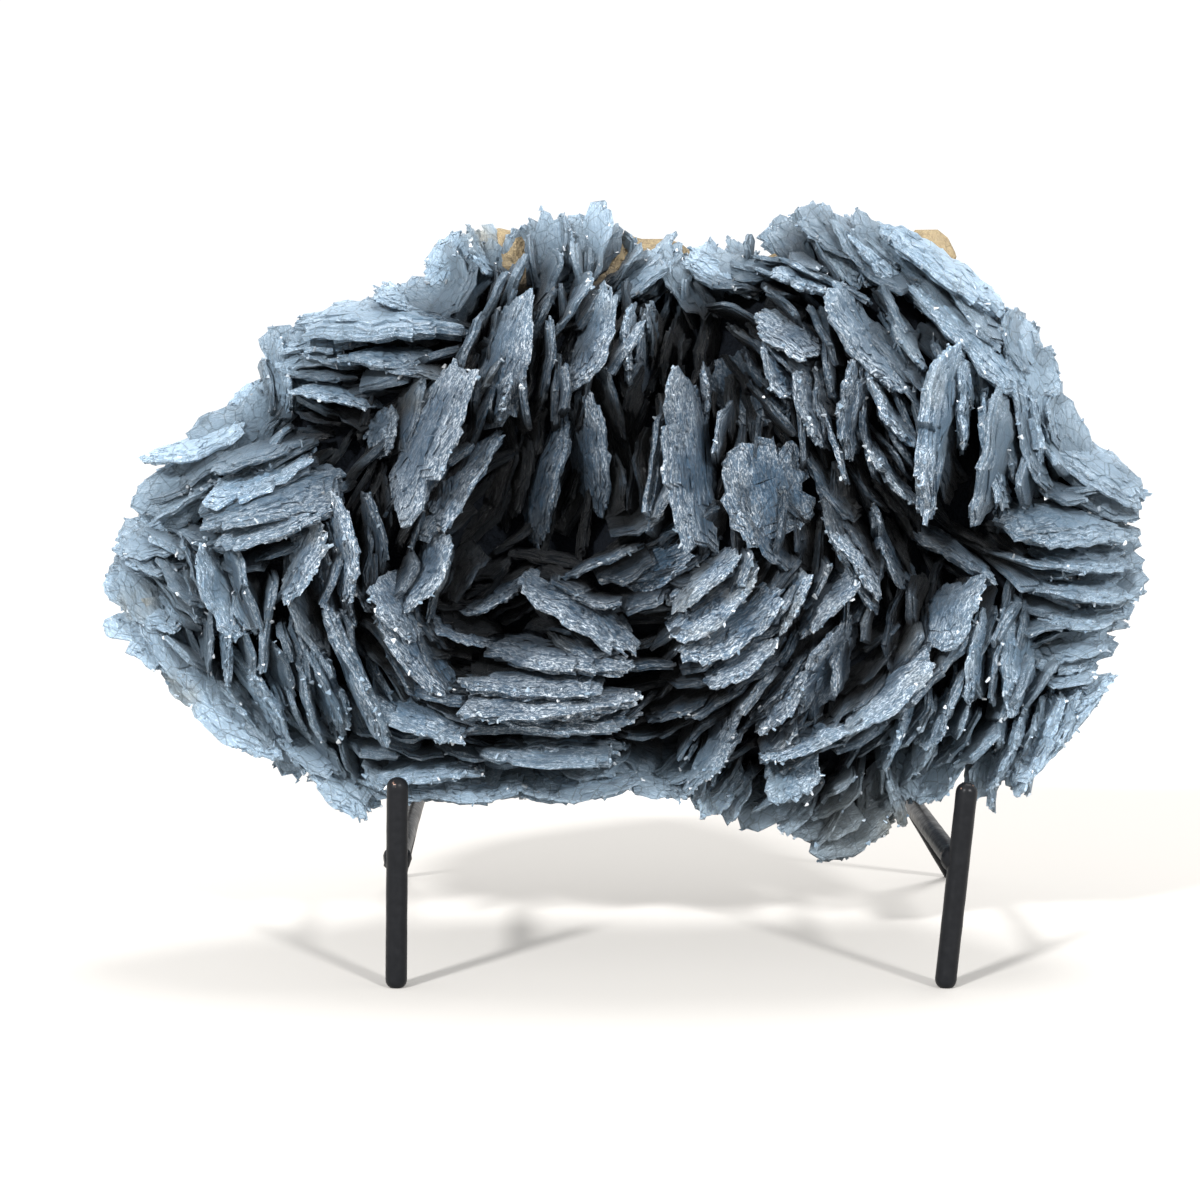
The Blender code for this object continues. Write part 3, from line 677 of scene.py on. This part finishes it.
def fuse(name, blades, finish):
    """Joins blades into one piece and gives it its finish."""
    blades = [blade for blade in blades if blade]
    bpy.ops.object.select_all(action="DESELECT")
    for blade in blades:
        blade.select_set(True)
    bpy.context.view_layer.objects.active = blades[0]
    bpy.ops.object.join()
    piece = bpy.context.object
    piece.name = piece.data.name = name
    piece.data.materials.clear()
    piece.data.materials.append(finish)
    bpy.ops.object.shade_smooth_by_angle(angle=math.radians(28))
    shade_by_depth(piece)
    return piece


def chip_pattern():
    """The corners and faces of one chip, a five-sided crystal that tapers."""
    bpy.ops.object.select_all(action="DESELECT")
    bpy.ops.mesh.primitive_cylinder_add(vertices=5, radius=0.5, depth=1, location=(0, 0, 0.2))
    pattern = bpy.context.object
    bpy.ops.object.transform_apply(location=True)
    bpy.ops.object.mode_set(mode="EDIT")
    bm = bmesh.from_edit_mesh(pattern.data)
    bpy.ops.mesh.select_all(action="DESELECT")
    for vert in bm.verts:
        vert.select_set(vert.co.z > 0)
    bmesh.update_edit_mesh(pattern.data)
    bpy.ops.transform.resize(value=CHIP_TAPER, center_override=(0, 0, 0))
    bpy.ops.object.mode_set(mode="OBJECT")
    corners = np.array([vert.co for vert in pattern.data.vertices])
    faces = [list(face.vertices) for face in pattern.data.polygons]
    bpy.data.objects.remove(pattern)
    return corners, faces


def blade_rims(pieces):
    """The rims of the blades that aren't deep in a gap: places, normals, and depth values."""
    rims = []
    for mesh in [piece.data for piece in pieces]:
        leaf, place = stored(mesh, "leaf"), stored(mesh, "place")
        good = (np.hypot(leaf[:, 0], leaf[:, 1]) > CHIP_ZONE) & (place[:, 0] < CHIP_DEPTH)
        rims.append((read_points(mesh)[good], read_points(mesh, "normal")[good], place[good]))
    return [np.concatenate(values) for values in zip(*rims)]


def crystal_chips(pieces, finish, rng):
    """Small crystals that stand on the rims of the blades, broken at different lengths."""
    corners, faces = chip_pattern()
    points, normals, places = blade_rims(pieces)
    draw = np.random.default_rng(rng.randrange(1 << 30))
    chosen = draw.choice(len(points), CHIP_NUMBER, replace=False)
    points, normals, places = in_tables(points[chosen]), normals[chosen], places[chosen]

    up = normals * 0.5 + draw.normal(0, 0.7, normals.shape)
    up /= np.linalg.norm(up, axis=1)[:, None]
    side = np.cross(up, draw.normal(0, 1, up.shape))
    side /= np.linalg.norm(side, axis=1)[:, None]
    axes = np.stack([side, np.cross(up, side), up], axis=1)
    long = draw.uniform(*CHIP_LENGTHS, CHIP_NUMBER) * draw.uniform(0.5, 1, CHIP_NUMBER)
    wide, thick = draw.uniform(*CHIP_WIDTHS, CHIP_NUMBER), draw.uniform(*CHIP_THICKNESS, CHIP_NUMBER)
    size = np.stack([wide, thick, long], axis=1)
    chips = points[:, None] + np.einsum("ncs,nsk->nck", corners[None] * size[:, None], axes)
    clear = [clear_of_rods(chip).length + within_box(chip).length < 0.01 for chip in chips]
    chips, places = chips[clear], places[clear]

    mesh = bpy.data.meshes.new("crystal_chips")
    step = len(corners)
    all_faces = [[corner + step * i for corner in face] for i in range(len(chips)) for face in faces]
    mesh.from_pydata((chips.reshape(-1, 3) * MM + np.array(SHIFT)).tolist(), [], all_faces)
    piece = bpy.data.objects.new("crystal_chips", mesh)
    bpy.context.scene.collection.objects.link(piece)
    # Depth values that give the chips their painted shade
    store(mesh, "place", np.repeat(places, step, axis=0))
    store(mesh, "tone", np.repeat(draw.random((len(chips), 3)), step, axis=0))
    mesh.materials.append(finish)
    bpy.context.view_layer.objects.active = piece
    piece.select_set(True)
    bpy.ops.object.mode_set(mode="EDIT")
    bpy.ops.mesh.select_all(action="SELECT")
    bpy.ops.mesh.normals_make_consistent(inside=False)
    bpy.ops.object.mode_set(mode="OBJECT")
    return piece


def shade_by_depth(piece):
    """Stores how deep each vertex is below the cluster's face, for painted shade in the gaps, how far into
    the border, for a painted backlight along the outline, and its share.
    """
    angles = np.linspace(-math.pi, math.pi, 181)
    reaches = np.array([reach(angle) for angle in angles])
    points = in_tables(read_points(piece.data))
    y = points[:, 1]
    nearness = (EYE_DISTANCE + np.minimum(y, WIDEST_DEPTH)) / (EYE_DISTANCE + WIDEST_DEPTH)
    x = points[:, 0] / nearness - HEART[0]
    z = EYE_HEIGHT + (points[:, 2] - EYE_HEIGHT) / nearness - HEART[1]
    outline = np.interp(np.arctan2(z, x), angles, reaches)
    share = np.clip(np.hypot(x, z) / outline, 0, 1)
    outer = WIDEST_DEPTH - (FRONT_BULGE + STANDOUT) * (1 - share ** FRONT_FULLNESS) ** FRONT_ROUNDNESS
    # Painted shade: the deeper a vertex lies below the cluster's outer face, the darker its colour
    depth = np.clip((y - outer) / PAINTED_SHADE_DEPTH, 0, 1)
    # The painted backlight of the border starts further in at the top and the sides
    upward = np.clip(z / np.hypot(x, z), 0, 1)
    sideways = np.abs(x) / np.hypot(x, z)
    start = BORDER_START - BORDER_WIDER * np.maximum(upward, sideways)
    edge = np.clip((share - start) / (1 - start), 0, 1)
    # Painted shade is lifted in the border and behind the widest section
    depth *= 1 - BORDER_LIGHT * edge
    depth *= 1 - BEHIND_LIGHT * np.clip((y - WIDEST_DEPTH - 2) / 6, 0, 1)
    store(piece.data, "place", np.column_stack([depth, edge, share]))


def matrix_body(finish):
    """The rock that the blades grow from: a core and lumps fused into one, with a broken surface."""
    bpy.ops.object.select_all(action="DESELECT")
    bpy.ops.mesh.primitive_uv_sphere_add(segments=72, ring_count=36, radius=1)
    core = bpy.context.object
    for vert in core.data.vertices:
        share = math.hypot(vert.co.x, vert.co.z)
        angle = math.atan2(vert.co.z, vert.co.x)
        radius = (reach(angle) - CRYSTAL_RIM) * min(1, share)
        x, z = HEART[0] + radius * math.cos(angle), HEART[1] + radius * math.sin(angle)
        y = core_depth(x, z) + ROCK_CORE_SINK if vert.co.y < 0 else back_depth(min(1, share))
        vert.co = seen_at(x, z, y)
    parts = [core]
    for x, y, z, wide, deep, high in MATRIX_LUMPS + RIDGE_LUMPS:
        bpy.ops.mesh.primitive_ico_sphere_add(subdivisions=3, radius=1, location=(x, y, z))
        lump = bpy.context.object
        lump.scale = (wide, deep, high)
        parts.append(lump)
    for part in parts:
        part.select_set(True)
    bpy.context.view_layer.objects.active = core
    bpy.ops.object.transform_apply(location=True, rotation=True, scale=True)
    bpy.ops.object.join()
    core.name = core.data.name = "matrix_rock"
    fused = core.modifiers.new("Fused", "REMESH")
    fused.mode = "VOXEL"
    fused.voxel_size = ROCK_VOXEL
    bpy.ops.object.modifier_apply(modifier=fused.name)
    mesh = core.data
    points, normals = read_points(mesh), read_points(mesh, "normal")
    rough = np.array([
        noise.ridged_multi_fractal(Vector(point) * 0.07, 0.8, 2.2, 5, 0.9, 2.2) for point in points
    ])
    cracks = np.array([noise.voronoi(Vector(point) * 0.16)[0][0] for point in points])
    swell = np.array([noise.noise(Vector(point) * 0.045) for point in points])
    outwards = np.clip(rough, 0, 3) * 1.2 - 2.0 + np.clip(cracks, 0, 0.8) * 2.4 + swell * 3.0
    mesh.vertices.foreach_set("co", (points + normals * outwards[:, None]).ravel())
    broken = core.modifiers.new("Broken", "DECIMATE")
    broken.ratio = ROCK_KEPT
    bpy.ops.object.modifier_apply(modifier=broken.name)
    write_points(mesh, keep_clear(read_points(mesh)))
    mesh.update()
    bpy.ops.object.shade_smooth_by_angle(angle=math.radians(16))
    mesh.materials.clear()
    mesh.materials.append(finish)
    return core


def keep_clear(points):
    """Moves the points that are too near the stand away from it, and keeps all inside the frame's box."""
    for name in RODS:
        nearest, away, room = away_from_rod(name, points)
        if name.startswith(("back_upright", "rear_crossbar")):
            beside = np.hypot(away[:, 0], away[:, 2]) < room + CHANNEL_MARGIN
            behind = beside & (away[:, 1] > -room)
            points[behind, 1] = nearest[behind, 1] - room
            continue
        distance = np.linalg.norm(away, axis=1)
        close = distance < room
        points[close] = nearest[close] + away[close] / distance[close, None] * room
    return np.clip(points, LOW_LIMIT, HIGH_LIMIT)


# Stand


def rod(name, start, end, diameter, rounded, finish):
    """A round bar with the slight waves and rounded ends of hand-bent, painted rod."""
    start, end = Vector(start), Vector(end)
    length, radius = (end - start).length, diameter / 2
    rng = random.Random(name)
    bpy.ops.object.select_all(action="DESELECT")
    bpy.ops.mesh.primitive_circle_add(vertices=BAR_SIDES, radius=radius, fill_type="NGON")
    bar = bpy.context.object
    bar.name = bar.data.name = name
    bpy.ops.object.mode_set(mode="EDIT")
    bpy.ops.mesh.select_all(action="SELECT")
    rings = max(6, int(length / WAVE_LENGTH))
    before = 1.0
    for _ in range(rings):
        swell = rng.uniform(WAVE_THINNEST, 1.0)
        bpy.ops.mesh.extrude_region_move(TRANSFORM_OT_translate={"value": (0, 0, length / rings)})
        bpy.ops.transform.resize(value=(swell / before, swell / before, 1), center_override=(0, 0, 0))
        before = swell
    bm = bmesh.from_edit_mesh(bar.data)
    for place, ends in ((0, ("start", "both")), (length, ("end", "both"))):
        if rounded not in ends:
            continue
        bpy.ops.mesh.select_all(action="DESELECT")
        for edge in bm.edges:
            if all(abs(vert.co.z - place) < 0.01 for vert in edge.verts):
                edge.select_set(True)
        bmesh.update_edit_mesh(bar.data)
        bpy.ops.mesh.bevel(offset=radius * END_ROUNDING, segments=END_STEPS, profile=0.5, affect="EDGES")
        bm = bmesh.from_edit_mesh(bar.data)
    bpy.ops.mesh.select_all(action="SELECT")
    bpy.ops.mesh.normals_make_consistent(inside=False)
    bpy.ops.object.mode_set(mode="OBJECT")
    turn = Vector((0, 0, 1)).rotation_difference(end - start).to_matrix().to_4x4()
    worn = np.array([
        max(0, 1 - min(vert.co.z, length - vert.co.z) / WORN_LENGTH) for vert in bar.data.vertices
    ])
    store(bar.data, "wear", np.column_stack([worn, worn * 0, worn * 0]))
    bar.data.transform(Matrix.Translation(SHIFT) @ Matrix.Scale(MM, 4) @ Matrix.Translation(start) @ turn)
    if start.z < 0:
        bpy.ops.object.mode_set(mode="EDIT")
        bpy.ops.mesh.select_all(action="SELECT")
        cut = {"plane_co": (0, 0, 0), "plane_no": (0, 0, 1), "threshold": 1e-7}
        bpy.ops.mesh.bisect(use_fill=True, clear_inner=True, **cut)
        bpy.ops.object.mode_set(mode="OBJECT")
    for vert in bar.data.vertices:
        vert.co.y = min(max(vert.co.y, cad_box[0].y), cad_box[1].y)
    bar.data.materials.append(finish)
    bpy.ops.object.shade_smooth_by_angle(angle=math.radians(40))
    return bar


def axis(name):
    """A rod's ends and radius."""
    start, end, diameter, _ = RODS[name]
    return Vector(start), Vector(end), diameter / 2


def nearest_on(name, place):
    """The point of a rod's axis nearest to a place."""
    start, end, _ = axis(name)
    _, share = geometry.intersect_point_line(place, start, end)
    return start.lerp(end, min(1, max(0, share)))


def weld(bar, name, other):
    """A lumpy bead of weld where a rod meets another, joined to the rod's bar."""
    start, end, radius = axis(name)
    crossing = geometry.intersect_line_line(start, end, *axis(other)[:2])[0]
    near = nearest_on(name, crossing)
    place = nearest_on(other, near).lerp(near, WELD_PLACE)
    bpy.ops.object.select_all(action="DESELECT")
    bpy.ops.mesh.primitive_ico_sphere_add(subdivisions=3, radius=radius * WELD_SIZE)
    bead = bpy.context.object
    for vert in bead.data.vertices:
        vert.co *= 1 + WELD_LUMPS * noise.noise(vert.co * 1.1 + place)
        vert.co = (vert.co + place) * MM + SHIFT
    store(bead.data, "wear", np.zeros((len(bead.data.vertices), 3)))
    bead.data.materials.append(bar.data.materials[0])
    bead.data.shade_smooth()
    bar.select_set(True)
    bpy.context.view_layer.objects.active = bar
    bpy.ops.object.join()


# Finishes


class Nodes:
    """Short calls for building a material's node tree."""

    def __init__(self, name):
        self.material = bpy.data.materials.new(name)
        self.material.use_nodes = True
        self.tree = self.material.node_tree
        self.shader = self.tree.nodes["Principled BSDF"]

    def add(self, kind, values=None, **settings):
        node = self.tree.nodes.new(kind)
        for name, value in settings.items():
            setattr(node, name, value)
        for socket, value in (values or {}).items():
            self.put(node.inputs[socket], value)
        return node

    def put(self, socket, value):
        if isinstance(value, bpy.types.NodeSocket):
            self.tree.links.new(value, socket)
        else:
            socket.default_value = value

    def give(self, socket, value):
        self.put(self.shader.inputs[socket], value)

    def roughen(self, height, strength, distance):
        values = {"Height": height, "Strength": strength, "Distance": distance}
        self.give("Normal", self.add("ShaderNodeBump", values).outputs[0])

    def attribute(self, name):
        return self.add("ShaderNodeAttribute", attribute_name=name).outputs["Vector"]

    def parts(self, vector):
        return self.add("ShaderNodeSeparateXYZ", {0: vector}).outputs

    def stretched(self, vector, scale):
        return self.add("ShaderNodeMapping", {"Vector": vector, "Scale": scale}).outputs[0]

    def noise(self, vector, scale, detail=2.0, roughness=0.5):
        values = {"Vector": vector, "Scale": scale, "Detail": detail, "Roughness": roughness}
        return self.add("ShaderNodeTexNoise", values).outputs["Fac"]

    def math(self, operation, first, second=0.0, clamp=False):
        values = {0: first, 1: second}
        return self.add("ShaderNodeMath", values, operation=operation, use_clamp=clamp).outputs[0]

    def times(self, first, second):
        return self.math("MULTIPLY", first, second)

    def over(self, operation, first, second=None):
        """The node of a vector operation."""
        values = {0: first} if second is None else {0: first, 1: second}
        return self.add("ShaderNodeVectorMath", values, operation=operation)

    def tinted(self, colour, shade):
        """A colour times a red, green and blue shade."""
        shade = self.add("ShaderNodeCombineColor", dict(enumerate(shade))).outputs[0]
        return self.mix(1.0, colour, shade, "MULTIPLY")

    def ramp(self, value, low, high, to_low=0.0, to_high=1.0):
        values = {"Value": value, "From Min": low, "From Max": high, "To Min": to_low, "To Max": to_high}
        return self.add("ShaderNodeMapRange", values).outputs[0]

    def spot(self, place, x, z, radius):
        """1 at a place seen from the front, fading to 0 at its radius."""
        centre = seen_at(x, z, WIDEST_DEPTH) * MM + SHIFT
        flat = self.over("MULTIPLY", place, (1, 0, 1)).outputs[0]
        away = self.over("DISTANCE", flat, (centre.x, 0, centre.z)).outputs["Value"]
        return self.ramp(away, radius * 0.3 * MM, radius * MM, 1.0, 0.0)

    def mix(self, share, first, second, blend="MIX"):
        node = self.add("ShaderNodeMix", data_type="RGBA", blend_type=blend)
        self.put(node.inputs["Factor"], share)
        colour_a, colour_b, colour_out = node.inputs[6], node.inputs[7], node.outputs[2]
        self.put(colour_a, first)
        self.put(colour_b, second)
        return colour_out


def barite_finish():
    """Blue barite: fibrous along the blade, pale and sugary at its rim, with painted shade down in the
    gaps, a painted highlight on upward faces and a painted pale backlight along the cluster's outline.
    """
    b = Nodes("blue_barite_crystal")
    grain = b.attribute("grain")
    leaf = b.over("MULTIPLY", b.attribute("leaf"), (1, 1, 0)).outputs[0]
    outward = b.over("LENGTH", leaf).outputs["Value"]
    tone, second, shown = b.parts(b.attribute("tone"))
    # Depth drives the painted shade in the gaps, edge the painted backlight along the outline; listed
    # blades get less painted shade
    depth, edge, _ = b.parts(b.attribute("place"))
    depth = b.times(depth, b.ramp(shown, 0.0, 1.0, 1.1, 0.6))
    where = b.add("ShaderNodeTexCoord").outputs["Object"]
    normal_z = b.parts(b.add("ShaderNodeNewGeometry").outputs["Normal"])[2]
    fibres = b.noise(b.stretched(grain, (0.22, 2.0, 4.0)), 1.0, 5.0, 0.72)
    sugar = b.noise(b.stretched(grain, (1.0, 2.7, 2.9)), 1.0, 3.0, 0.85)
    clouds = b.noise(grain, 0.16, 2.0)

    ragged = b.math("ADD", outward, b.times(b.math("SUBTRACT", clouds, 0.5), 1.6))
    ragged = b.math("ADD", ragged, b.times(b.math("SUBTRACT", fibres, 0.5), 0.8))
    crust_and_painted_light = b.ramp(ragged, 0.4, 0.92)
    # Painted highlight: faces turned upwards get more of the pale sugary rim colour, as if lit from above;
    # painted shade takes it away deep in the gaps
    crust_and_painted_light = b.math("ADD", crust_and_painted_light, b.times(b.ramp(normal_z, -0.3, 0.9), 0.3), clamp=True)
    crust_and_painted_light = b.times(crust_and_painted_light, b.ramp(depth, 0.1, 0.7, 1.0, 0.25))
    grains = b.ramp(sugar, 0.49, 0.59)
    frost_and_painted_light = b.times(b.ramp(crust_and_painted_light, 0.0, 1.0, 0.05, 1.0), b.ramp(grains, 0.0, 1.0, 0.5, 1.0))

    deep_blue = (0.008, 0.02, 0.036, 1)
    steel_blue = (0.06, 0.125, 0.195, 1)
    slate = (0.038, 0.054, 0.072, 1)
    body = b.mix(b.ramp(fibres, 0.36, 0.62), deep_blue, steel_blue)
    body = b.mix(b.times(tone, 0.6), body, slate)
    pale_blue = (0.185, 0.24, 0.29, 1)
    grey_white = (0.78, 0.8, 0.81, 1)
    frosted = b.mix(grains, pale_blue, grey_white)
    colour = b.mix(frost_and_painted_light, body, frosted)
    brown_grey = (0.17, 0.16, 0.135, 1)
    stain = b.ramp(b.noise(grain, 0.12, 3.0), 0.48, 0.64)
    stain = b.times(stain, b.ramp(second, 0.25, 1.0, 0.05, 0.5))
    colour = b.mix(stain, colour, brown_grey)

    painted_backlight_blue = (0.33, 0.47, 0.58, 1)
    painted_backlight_white = (0.66, 0.76, 0.82, 1)
    lobe_grey = (0.2, 0.2, 0.18, 1)
    amber = (0.42, 0.3, 0.13, 1)
    seam_grey = (0.05, 0.07, 0.08, 1)
    # Painted backlight: the thin plates of the outline are coloured pale blue, and white at the very rim,
    # as if the white surround shone through them; the same mask also sets real transmission
    painted_backlight_and_transmission = b.ramp(edge, 0.0, 0.85)
    colour = b.mix(b.times(painted_backlight_and_transmission, 0.45), colour, painted_backlight_blue)
    colour = b.mix(b.ramp(edge, 0.6, 1.0, 0.0, 0.35), colour, painted_backlight_white)
    lobe = b.times(b.spot(where, *BROWN_LOBE), b.ramp(grains, 0.0, 1.0, 0.75, 0.45))
    colour = b.mix(lobe, colour, lobe_grey)
    for row in AMBER_STAINS:
        stained = b.times(b.spot(where, *row), b.ramp(clouds, 0.35, 0.65, 0.1, 0.5))
        colour = b.mix(stained, colour, amber)
    cells = b.add("ShaderNodeTexVoronoi", {"Vector": grain, "Scale": 0.3}, feature="DISTANCE_TO_EDGE")
    seams = b.ramp(cells.outputs["Distance"], 0.0, 0.05, 0.55, 0.0)
    colour = b.mix(b.times(seams, painted_backlight_and_transmission), colour, seam_grey)

    # Painted shade: the deeper in the gaps, the darker the colour, times a random tone for each blade;
    # lifted for the listed blades and towards the outline's painted backlight, and tinted blue
    painted_shade = b.times(b.ramp(depth, 0.14, 0.8, 1.0, 0.045), b.ramp(second, 0.0, 1.0, 0.7, 1.25))
    painted_light_lift = b.times(b.ramp(shown, 0.0, 1.0, 0.88, 1.12), b.ramp(edge, 0.0, 0.7, 1.0, 1.35))
    painted_shade = b.times(painted_shade, painted_light_lift)
    shade = (b.times(painted_shade, 0.93), painted_shade, b.times(painted_shade, 1.08))
    b.give("Base Color", b.tinted(colour, shade))
    b.give("Transmission Weight", b.times(painted_backlight_and_transmission, 0.4))
    b.give("Roughness", b.ramp(grains, 0.0, 1.0, 0.36, 0.62))
    b.give("IOR", 1.64)
    b.give("Specular IOR Level", 0.16)
    height = b.math("ADD", fibres, sugar)
    b.roughen(height, 1.0, 0.0009)
    return b.material


def chip_finish():
    """Small clear crystals on the rims: blue-grey to white, glossy, with painted shade deep in the gaps."""
    b = Nodes("frosted_chips")
    tone, second, _ = b.parts(b.attribute("tone"))
    depth, _, _ = b.parts(b.attribute("place"))
    place = b.add("ShaderNodeTexCoord").outputs["Object"]
    cloudy = b.noise(place, 1500.0, 2.0)
    blue_grey = (0.12, 0.18, 0.24, 1)
    white = (0.8, 0.84, 0.87, 1)
    cloud_grey = (0.3, 0.37, 0.43, 1)
    colour = b.mix(b.math("POWER", tone, 5.0), blue_grey, white)
    colour = b.mix(b.ramp(cloudy, 0.4, 0.65, 0.0, 0.4), colour, cloud_grey)
    # Painted shade: chips deep in the gaps are coloured darker
    painted_shade = b.ramp(depth, 0.1, 0.5, 1.0, 0.12)
    b.give("Base Color", b.tinted(colour, (painted_shade, painted_shade, painted_shade)))
    b.give("Roughness", b.ramp(second, 0.0, 1.0, 0.12, 0.5))
    b.give("IOR", 1.64)
    b.roughen(cloudy, 0.4, 0.0002)
    return b.material


def matrix_finish():
    """Rock: painted near-black shade where it lies between the blades, tan and grey-brown where it is
    broken at the back.
    """
    b = Nodes("tan_matrix")
    place = b.add("ShaderNodeTexCoord").outputs["Object"]
    _, y, z = b.parts(place)
    blotches = b.noise(place, 90.0, 4.0, 0.6)
    grit = b.noise(place, 900.0, 4.0, 0.7)
    ridge = b.ramp(z, 0.134, 0.14)
    patches = b.noise(place, 28.0, 5.0, 0.65)
    dark_tan, light_tan = (0.13, 0.1, 0.07, 1), (0.38, 0.3, 0.19, 1)
    slate_grey = (0.2, 0.22, 0.24, 1)
    dust = (0.4, 0.37, 0.32, 1)
    ochre = (0.36, 0.28, 0.16, 1)
    tan = b.mix(b.ramp(blotches, 0.35, 0.65), dark_tan, light_tan)
    tan = b.mix(b.ramp(patches, 0.5, 0.62, 0.0, 0.8), tan, slate_grey)
    tan = b.mix(b.ramp(grit, 0.45, 0.7, 0.0, 0.7), tan, dust)
    tan = b.mix(b.times(ridge, b.ramp(grit, 0.35, 0.6, 0.1, 0.9)), tan, ochre)
    # Painted shade: the rock in front of the given depth, seen between the blades, is coloured near-black
    # blue
    painted_shade_navy = b.mix(grit, (0.001, 0.0015, 0.003, 1), (0.006, 0.009, 0.014, 1))
    front = float(SHIFT.y) + ROCK_PAINTED_SHADE_DEPTH * MM
    uneven = b.times(b.math("SUBTRACT", blotches, 0.5), 0.02)
    behind = b.ramp(b.math("ADD", y, uneven), front, front + 0.01)
    b.give("Base Color", b.mix(b.math("MAXIMUM", behind, ridge), painted_shade_navy, tan))
    b.give("Roughness", b.ramp(grit, 0.3, 0.7, 0.75, 1.0))
    b.give("Specular IOR Level", 0.12)
    height = b.math("ADD", grit, b.times(b.noise(place, 350.0, 5.0, 0.7), 2.0))
    b.roughen(height, 1.0, 0.0015)
    return b.material


def enamel_finish():
    """Black enamel with a fine orange-peel, worn to dull metal at the ends of the rods."""
    b = Nodes("black_enamel")
    place = b.add("ShaderNodeTexCoord").outputs["Object"]
    wear = b.parts(b.attribute("wear"))[0]
    peel = b.noise(place, 700.0, 3.0)
    chips = b.noise(place, 500.0, 4.0, 0.7)
    bare = b.ramp(b.math("ADD", b.times(wear, 0.22), chips), 0.8, 0.84)
    bare_steel = (0.32, 0.2, 0.15, 1)
    black = b.mix(peel, (0.004, 0.0045, 0.0055, 1), (0.008, 0.0085, 0.01, 1))
    b.give("Base Color", b.mix(bare, black, bare_steel))
    b.give("Metallic", b.times(bare, 0.9))
    b.give("Specular IOR Level", 0.12)
    b.give("Roughness", b.ramp(peel, 0.3, 0.7, 0.3, 0.45))
    b.roughen(peel, 0.25, 0.0004)
    return b.material


# Set


def studio():
    """A plain pale floor, a white surround, two soft lights in front and one above."""
    bpy.ops.object.select_all(action="DESELECT")
    bpy.ops.mesh.primitive_plane_add(size=6, location=(0, 0, -0.0002))
    floor = bpy.context.object
    floor.name = "floor"
    paper = Nodes("pale_paper")
    paper.give("Base Color", (0.45, 0.435, 0.415, 1))
    paper.give("Roughness", 0.9)
    paper.give("Specular IOR Level", 0.1)
    floor.data.materials.append(paper.material)
    world = bpy.data.worlds.new("white_surround")
    bpy.context.scene.world = world
    world.use_nodes = True
    world.node_tree.nodes["Background"].inputs[0].default_value = (1, 1, 1, 1)
    world.node_tree.nodes["Background"].inputs[1].default_value = SURROUND
    for name, turn, height, strength, softness in SUNS:
        light = bpy.data.lights.new(name, "SUN")
        light.angle = math.radians(softness)
        light.energy = strength
        lamp = bpy.data.objects.new(name, light)
        lamp.rotation_euler = (math.radians(90 - height), 0, math.radians(turn))
        bpy.context.scene.collection.objects.link(lamp)
    bpy.context.scene.view_settings.view_transform = "Standard"


def camera():
    """The photograph's view: from in front, a little above, looking slightly down."""
    data = bpy.data.cameras.new("camera")
    data.lens = LENS
    data.sensor_width = SENSOR
    data.clip_start = 0.01
    seer = bpy.data.objects.new("camera", data)
    seer.location = (SHIFT.x, SHIFT.y - EYE_DISTANCE * MM, EYE_HEIGHT * MM)
    seer.rotation_euler = (math.radians(90 - CAMERA_TILT), 0, 0)
    bpy.context.scene.collection.objects.link(seer)
    bpy.context.scene.camera = seer


def finish_piece(piece, slot, *nodes):
    """Puts a piece on the object's one body, in place of the solids it dresses; the slot is not used."""
    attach(piece, "root")
    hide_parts(*nodes)


def main():
    rng = random.Random(SEED)
    camera()
    studio()
    patterns = blade_patterns(rng)
    barite = barite_finish()
    pieces = []
    for region, rows in BLADES.items():
        pieces.append(fuse(f"crystals_{region}", region_blades(rows, patterns, rng), barite))
    pieces.append(fuse("crystals_between", filling_blades(patterns, rng), barite))
    pieces.append(fuse("crystals_rim", rim_blades(patterns, rng), barite))
    pieces.append(fuse("crystals_sides", side_blades(patterns, rng), barite))
    pieces.append(crystal_chips(pieces, chip_finish(), rng))
    pieces.append(matrix_body(matrix_finish()))
    for group in patterns.values():
        for pattern in group:
            bpy.data.objects.remove(pattern)
    for piece in pieces:
        finish_piece(piece, "blue_barite", "barite_cluster")
    enamel = enamel_finish()
    for name, row in RODS.items():
        bar = rod(f"{name}_bar", *row, enamel)
        for other in [other for joined, other in WELDS if joined == name]:
            weld(bar, name, other)
        finish_piece(bar, "black_rod", name)


main()
